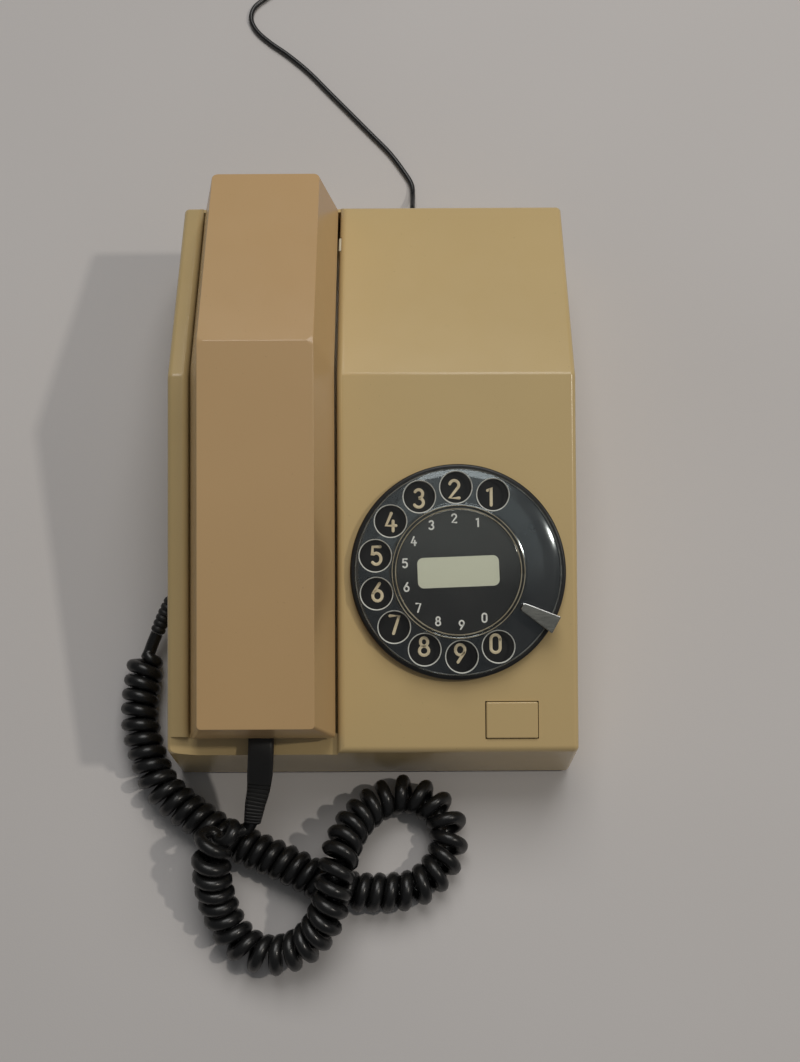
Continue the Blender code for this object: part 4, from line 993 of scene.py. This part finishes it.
def rear_shell_rings(inset, top_raise):
    """Sections of the handset's lower half: a lip over the ledge, deep ends and a shallow grip."""
    front = HANDSET_FRONT + 0.5 * MM + inset
    rear = HANDSET_REAR - 0.5 * MM - inset
    lip_end = HANDSET_FRONT + 2.4 * MM + inset
    stations = [
        (front, LIP_DEPTH), (lip_end, LIP_DEPTH), (lip_end + 0.7 * MM, PAD_DEPTH),
        (HANDSET_FRONT + PAD_LENGTH, PAD_DEPTH),
        (HANDSET_FRONT + PAD_LENGTH + 12 * MM, GRIP_DEPTH), (HANDSET_RIDGE_Y, GRIP_DEPTH),
        (HANDSET_REAR - PAD_LENGTH - 10 * MM, GRIP_DEPTH), (HANDSET_REAR - PAD_LENGTH + 2 * MM, PAD_DEPTH),
        (rear, PAD_DEPTH),
    ]
    rings = []
    for y, depth in stations:
        face = rest_height(y)
        wide = HANDSET_SPLIT_HALF - 0.5 * MM - inset
        narrow = wide - 1.6 * MM * depth / PAD_DEPTH
        top = face + HANDSET_SPLIT - GAP + top_raise
        rings.append(across_handset(y, narrow, face - depth + inset, wide, top))
    return rings


def build_handset():
    front = handset_front_solid("handset_back_cover", 0.0, "handset_plastic")
    for radius, rear_end in ((1.4 * MM, False), (2.2 * MM, True)):
        round_edges(front, radius, 6, lambda e: upright(e) and (e.verts[0].co.y > 0) == rear_end)
    top = HANDSET_RISE - 1.5 * MM
    round_edges(front, 2.3 * MM, 6, lambda e: convex(e, 3) and above_split(e, top), False)
    cut(front, handset_front_solid("hollow", HANDSET_WALL, None))
    even_normals(smooth(front))
    show(front, "handset", "handset_plastic", "handset_front_shell")

    rear = loft("handset_under_cover", rear_shell_rings(0.0, 0.0), "handset_plastic")
    behind_lip = HANDSET_FRONT + 2.5 * MM
    round_edges(rear, 1.6 * MM, 4, lambda e: convex(e, 20) and min(v.co.y for v in e.verts) > behind_lip
                and not above_split(e, 0))
    tools = [loft("hollow", rear_shell_rings(HANDSET_WALL, 6 * MM), None)]
    mouth_y, ear_y = HANDSET_FRONT + 27 * MM, HANDSET_REAR - 27 * MM
    for name, y, tilt in (("mouthpiece", mouth_y, TILT), ("earpiece", ear_y, -HANDSET_FALL)):
        place = placed((HANDSET_X, y, rest_height(y)), tilt)
        low = -PAD_DEPTH * cos(tilt)
        tools.append(drill(16 * MM, low - 4 * MM, low + 4 * MM, place, 48))
        build_cap(name, place, low - GAP)
    for y in (-33 * MM, 14 * MM):
        place = placed((HANDSET_X, y, rest_height(y) - GRIP_DEPTH), TILT)
        tools.append(drill(1.9 * MM, -3 * MM, 5 * MM, place, 24))
    low = rest_height(HANDSET_FRONT) - BOOT_DROP - BOOT_HALF_THICK - GAP
    tools.append(block("boot_notch", (HANDSET_X - 6.1 * MM, HANDSET_FRONT - 3 * MM, low),
                       (HANDSET_X + 4.1 * MM, HANDSET_FRONT + 6 * MM, low + 20 * MM), None))
    cut(rear, *tools)
    even_normals(smooth(rear))
    show(rear, "handset", "handset_plastic", "handset_rear_shell")


def build_cap(name, place, rim):
    """Screw-on cap with a dished face, a rounded edge and a ring of sound holes."""
    foot = rim - 6.4 * MM
    radius = 22.5 * MM
    face = in_mm([(0, 1.6), (9, 1.3), (15, 0.5), (18, 0), (21, 0)])
    profile = [(r, foot + z) for r, z in face] + [(radius, foot + 1.5 * MM), (radius, rim), (0, rim)]
    cap = turned(name + "_cover", rounded_profile(profile, 1.2 * MM, 5), "handset_plastic", place, 72)
    tools = []
    for count, reach in ((1, 0.0), (6, 4.5 * MM), (12, 9.0 * MM)):
        for spot in circle(reach, count):
            outline = circle(0.9 * MM, 12, spot)
            tools.append(plate("sound_hole", outline, foot - 2 * MM, rim + 2 * MM, None, place))
    cut(cap, joined("sound_holes", tools))
    even_normals(smooth(cap))
    show(cap, "handset", "handset_plastic", name + "_cap")


# ---------------------------------------------------------------- dial

HOLE_PITCH_RADIUS = 31.1 * MM
HOLE_RADIUS = 6.05 * MM
HOLE_FIRST_ANGLE = 65.6
HOLE_SPACING = 25.8
DIGITS = "1234567890"
# The finger wheel's dome, in millimetres: flat up to the start, then falling as a cube.
DOME_START = 26.0
DOME_REACH = 10.5
DOME_FALL = 0.97


def hole_angle(n):
    return radians(HOLE_FIRST_ANGLE + HOLE_SPACING * n)


def arc(cx, cy, rx, ry, start, end, steps=14):
    angles = [radians(start + (end - start) * k / steps) for k in range(steps + 1)]
    return [(cx + rx * cos(a), cy + ry * sin(a)) for a in angles]


def digit_strokes(digit):
    """Strokes of a plain round-ended digit in a box 0.56 wide and 1 high, about its middle."""
    w = 0.26
    shapes = {
        "0": [arc(0, 0.24, w, 0.26, 0, 180) + arc(0, -0.24, w, 0.26, 180, 360) + [(w, 0.24)]],
        "1": [[(-0.14, 0.34), (0.06, 0.5), (0.06, -0.5)]],
        "2": [arc(0, 0.24, w, 0.26, 165, -25) + [(-w, -0.5), (w + 0.02, -0.5)]],
        "3": [arc(-0.01, 0.26, 0.23, 0.24, 150, -90) + arc(-0.01, -0.24, 0.27, 0.26, 90, -150)],
        "4": [[(0.02, 0.5), (-0.28, -0.2), (0.28, -0.2)], [(0.12, 0.06), (0.12, -0.5)]],
        "5": [[(0.23, 0.5), (-0.2, 0.5), (-0.23, 0.03)] + arc(0, -0.18, 0.27, 0.32, 128, -140)],
        "6": [[(0.12, 0.5)] + arc(0.0, -0.2, 0.27, 0.3, 150, 510)],
        "7": [[(-0.26, 0.5), (0.26, 0.5), (-0.06, -0.5)]],
        "8": [arc(0, 0.26, 0.21, 0.24, -90, 270), arc(0, -0.24, 0.27, 0.26, 90, 450)],
        "9": [[(-0.12, -0.5)] + arc(0.0, 0.2, 0.27, 0.3, -30, 330)],
    }
    return shapes[digit]


def stroke_mesh(points, width, height, look):
    """A flat raised line with round ends."""
    route = [Vector((x, y, 0)) for x, y in points]
    ends = 4
    first = (route[0] - route[1]).normalized() * width
    last = (route[-1] - route[-2]).normalized() * width
    full = []
    radii = []
    for k in range(ends):
        a = pi / 2 * k / ends
        full.append(route[0] + first * cos(a))
        radii.append(width * max(0.05, sin(a)))
    full.extend(route)
    radii.extend([width] * len(route))
    for k in range(ends):
        a = pi / 2 * (k + 1) / ends
        full.append(route[-1] + last * sin(a))
        radii.append(width * max(0.05, cos(a)))
    rings = []
    for n, point in enumerate(full):
        ahead = full[min(n + 1, len(full) - 1)] - full[max(n - 1, 0)]
        across = Vector((-ahead.y, ahead.x, 0)).normalized() * radii[n]
        rings.append([point - across, point - across * 0.85 + Vector((0, 0, height)),
                      point + across * 0.85 + Vector((0, 0, height)), point + across])
    return loft("stroke", rings, look)


def build_digits(name, reach, size, stroke, level, look, turn=0.0, shift=(0.0, 0.0)):
    parts = []
    for n, digit in enumerate(DIGITS):
        a = hole_angle(n) + turn
        for points in digit_strokes(digit):
            center = (reach * cos(a) + shift[0], reach * sin(a) + shift[1])
            placed = [(center[0] + x * size, center[1] + y * size) for x, y in points]
            part = stroke_mesh(placed, stroke / 2, 0.05 * MM, look)
            part.data.transform(DIAL_FRAME @ Matrix.Translation((0, 0, level)))
            parts.append(part)
    return joined(name, parts)


def dome_height(radius):
    """Height in millimetres of the finger wheel's domed top at a radius in millimetres."""
    return 6.8 - DOME_FALL * ((max(radius, DOME_START) - DOME_START) / DOME_REACH) ** 3


def dome_normals(wheel):
    """Gives the domed top the shading of its own formula, so that the cuts do not show in it."""
    mesh = wheel.data
    inverse = DIAL_FRAME.inverted()
    turn = DIAL_FRAME.to_3x3()
    normals = [Vector(c.vector) for c in mesh.corner_normals]
    for face in mesh.polygons:
        upward = (inverse.to_3x3() @ face.normal).z
        if abs(upward) > 0.9995:
            for loop in face.loop_indices:
                normals[loop] = Vector(face.normal)
        if upward < 0.8:
            continue
        for loop in face.loop_indices:
            spot = inverse @ mesh.vertices[mesh.loops[loop].vertex_index].co
            radius = Vector((spot.x, spot.y)).length / MM
            if DOME_START - 0.6 < radius < 37.99:
                share = max(0.0, radius - DOME_START) / DOME_REACH
                slope = 3 * DOME_FALL / DOME_REACH * share**2
                outward = Vector((spot.x, spot.y, 0)).normalized() * slope
                normals[loop] = turn @ (outward + Vector((0, 0, 1))).normalized()
    mesh.normals_split_custom_set(normals)


def build_dial():
    outline = [(5.2, 1.0), (30.0, 1.0), (30.0, -4.6), (32.6, -4.6), (32.6, 0.3), (39.8, 0.3), (40.0, 2.9),
               (39.4, 3.4), (5.2, 3.4)]
    profile = rounded_profile(in_mm(outline), 0.4 * MM, 4)
    base = even_normals(turned("dial_number_plate", profile, "black_plastic", DIAL_FRAME, 144))
    show(base, "root", "black_plastic", "number_plate")
    digits = build_digits("dial_numerals", 30.3 * MM, 6.5 * MM, 1.12 * MM, 3.4 * MM, "digit_paint",
                          shift=(-0.5 * MM, 0.25 * MM))
    show(digits, "root", "ivory_plastic")

    profile = [(3.3, 4.4), (37.9, 4.4), (38.2, 4.5), (38.3, 4.8), (38.25, 5.1)]
    for k in range(13):
        radius = 38.0 - 11.0 * k / 12
        profile.append((radius, dome_height(radius)))
    profile += [(25.5, 6.8), (25.1, 7.1), (24.9, 7.85), (24.4, 8.0), (23.9, 7.7), (23.6, 8.0), (23.4, 7.6),
                (23.4, 5.6), (3.3, 5.6)]
    wheel = turned("dial_finger_wheel", in_mm(profile), "clear_plastic", DIAL_FRAME, 144)
    tools = []
    for n in range(len(DIGITS)):
        a = hole_angle(n)
        place = DIAL_FRAME @ Matrix.Translation((HOLE_PITCH_RADIUS * cos(a), HOLE_PITCH_RADIUS * sin(a), 0))
        tools.append(drill(HOLE_RADIUS, 3.9 * MM, 8.5 * MM, place, 48))
        build_hole_rim(n, place)
    cut(wheel, *tools)
    smooth(wheel, 40)
    dome_normals(wheel)
    show(wheel, "dial_wheel", "clear_plastic", "finger_wheel")
    build_wheel_line("wheel_collar_inner_line", 23.1, 0.25, 8.08, "collar_plastic")
    build_wheel_line("wheel_collar_outer_line", 24.35, 0.2, 8.04, "collar_plastic")
    # the dark line at the wheel's rim is painted shade
    build_wheel_line("wheel_rim_shade_line", 37.85, 0.22, dome_height(37.85) + 0.04, "painted_rim_shade")

    disc = [(0, 6.0), (22.9, 6.0), (22.9, 6.4), (0, 6.4)]
    card = turned("dial_number_card", in_mm(disc), "black_plastic", DIAL_FRAME, 96)
    show(card, "dial_wheel", "black_plastic", "number_card")
    small = build_digits("card_numerals", 19.6 * MM, 3.1 * MM, 0.62 * MM, 6.4 * MM, "card_print", radians(2),
                         shift=(-0.3 * MM, 0.1 * MM))
    show(small, "dial_wheel", "ivory_plastic")
    build_label()
    cover = [(0, 6.7), (23.2, 6.7), (23.2, 7.9), (22.7, 8.3), (0, 8.5)]
    profile = rounded_profile(in_mm(cover), 0.3 * MM, 3)
    lens = even_normals(turned("dial_card_cover", profile, "cover_plastic", DIAL_FRAME, 120))
    show(lens, "dial_wheel", "clear_plastic", "card_cover")
    build_stop()


def build_wheel_line(name, radius, half_width, top, look):
    """A thin coloured line round one of the wheel's raised edges."""
    line = [(radius - half_width, top - 0.45), (radius + half_width, top - 0.45),
            (radius + half_width * 0.6, top), (radius - half_width * 0.6, top)]
    show(turned(name, in_mm(line), look, DIAL_FRAME, 120), "dial_wheel", "clear_plastic")


def build_hole_rim(n, place):
    """Pale opaque ring round the top of one finger hole: a painted highlight for the hole's bright edge."""
    low, high = 5.9 * MM, 6.6 * MM
    top = 6.9 * MM
    profile = [(HOLE_RADIUS - 0.28 * MM, low), (HOLE_RADIUS + 0.12 * MM, low), (HOLE_RADIUS + 0.12 * MM, top),
               (HOLE_RADIUS - 0.05 * MM, top), (HOLE_RADIUS - 0.28 * MM, high)]
    rim = turned(f"finger_hole_rim_{n + 1}", profile, "hole_rim_highlight", place, 48, 60)
    show(rim, "dial_wheel", "clear_plastic")


def build_label():
    """A plain blank ivory slip for the subscriber's own number."""
    outline = rounded_box(15.0 * MM, 5.6 * MM, 2.2 * MM, 8)
    place = DIAL_FRAME @ Matrix.Rotation(radians(2), 4, "Z")
    slip = plate("number_slip", outline, 6.4 * MM, 6.52 * MM, "label_paper", place)
    show(slip, "dial_wheel", "ivory_plastic")


def build_stop():
    """Bent metal finger stop: a flat tongue over the wheel that widens to its foot at the rim."""
    place = DIAL_FRAME @ Matrix.Rotation(radians(-29), 4, "Z")
    upper = in_mm([(26.3, 1.0), (27.0, 1.5), (33.0, 2.35), (40.75, 3.45)])
    outline = upper + [(x, -y) for x, y in reversed(upper)]
    tongue = plate("tongue", outline, 8.25 * MM, 9.0 * MM, "dull_steel", place)
    outline = in_mm([(39.3, -3.2), (40.75, -3.45), (40.75, 3.45), (39.3, 3.2)])
    foot = plate("foot", outline, 3.7 * MM, 8.3 * MM, "dull_steel", place)
    for part in (tongue, foot):
        round_edges(part, 0.36 * MM, 4, lambda e: convex(e, 20))
    stop = even_normals(smooth(joined("dial_finger_stop", [tongue, foot]), 50))
    show(stop, "root", "steel", "finger_stop")
    # A thin pale rod along the tongue's upper edge: a painted highlight in place of the glint there.
    line = [(x, y - 0.12 * MM) for x, y in upper[:-1]] + [(40.3 * MM, 3.22 * MM)]
    edge = [place @ Vector((x, y, 8.86 * MM)) for x, y in line]
    show(swept("finger_stop_highlight_edge", edge, [0.3 * MM] * len(edge), "stop_edge_highlight", 16), "root", "steel")


# ---------------------------------------------------------------- stage


def build_stage():
    n = Nodes("floor_cloth")
    cloudy = n.mottled(n.noise(3.0, 2.0), (0.60, 0.575, 0.565), (0.65, 0.625, 0.615))
    n.finish(cloudy, 0.85, n.bump(n.noise(1500.0, 2.0, 0.5), 0.0001, 0.25))
    floor = block("floor", (-3.0, -3.0, -0.01), (3.0, 3.0, 0.0), "floor_cloth")
    for name, place, aim, size, energy, color in (
        ("key_light", (1.05, 0.0, 1.45), (0.0, 0.0, 0.0), 0.06, 5.6, (1.0, 0.94, 0.85)),
        ("ceiling_light", (0.15, 1.1, 1.75), (0.0, 0.05, 0.0), 1.3, 19.0, (1.0, 0.985, 0.96)),
        ("panel_light", (0.1, -0.02, 1.9), (0.1, -0.02, 0.0), 0.9, 0.85, (0.96, 1.0, 0.97)),
    ):
        data = bpy.data.lights.new(name, "AREA")
        data.energy = energy
        data.size = size
        data.color = color
        lamp = bpy.data.objects.new(name, data)
        lamp.location = place
        lamp.rotation_mode = "QUATERNION"
        lamp.rotation_quaternion = (Vector(aim) - Vector(place)).to_track_quat("-Z", "Y")
        bpy.context.scene.collection.objects.link(lamp)
    world = bpy.data.worlds.new("room")
    bpy.context.scene.world = world
    world.use_nodes = True
    background = world.node_tree.nodes["Background"]
    background.inputs["Color"].default_value = (0.95, 0.97, 1.0, 1.0)
    background.inputs["Strength"].default_value = 0.10
    bpy.context.scene.view_settings.view_transform = "Standard"


build_camera()
dress_nodes()
build_curly_cord()
build_line_cord()
build_case()
build_button()
build_lug()
build_feet()
build_handset()
build_dial()
build_stage()
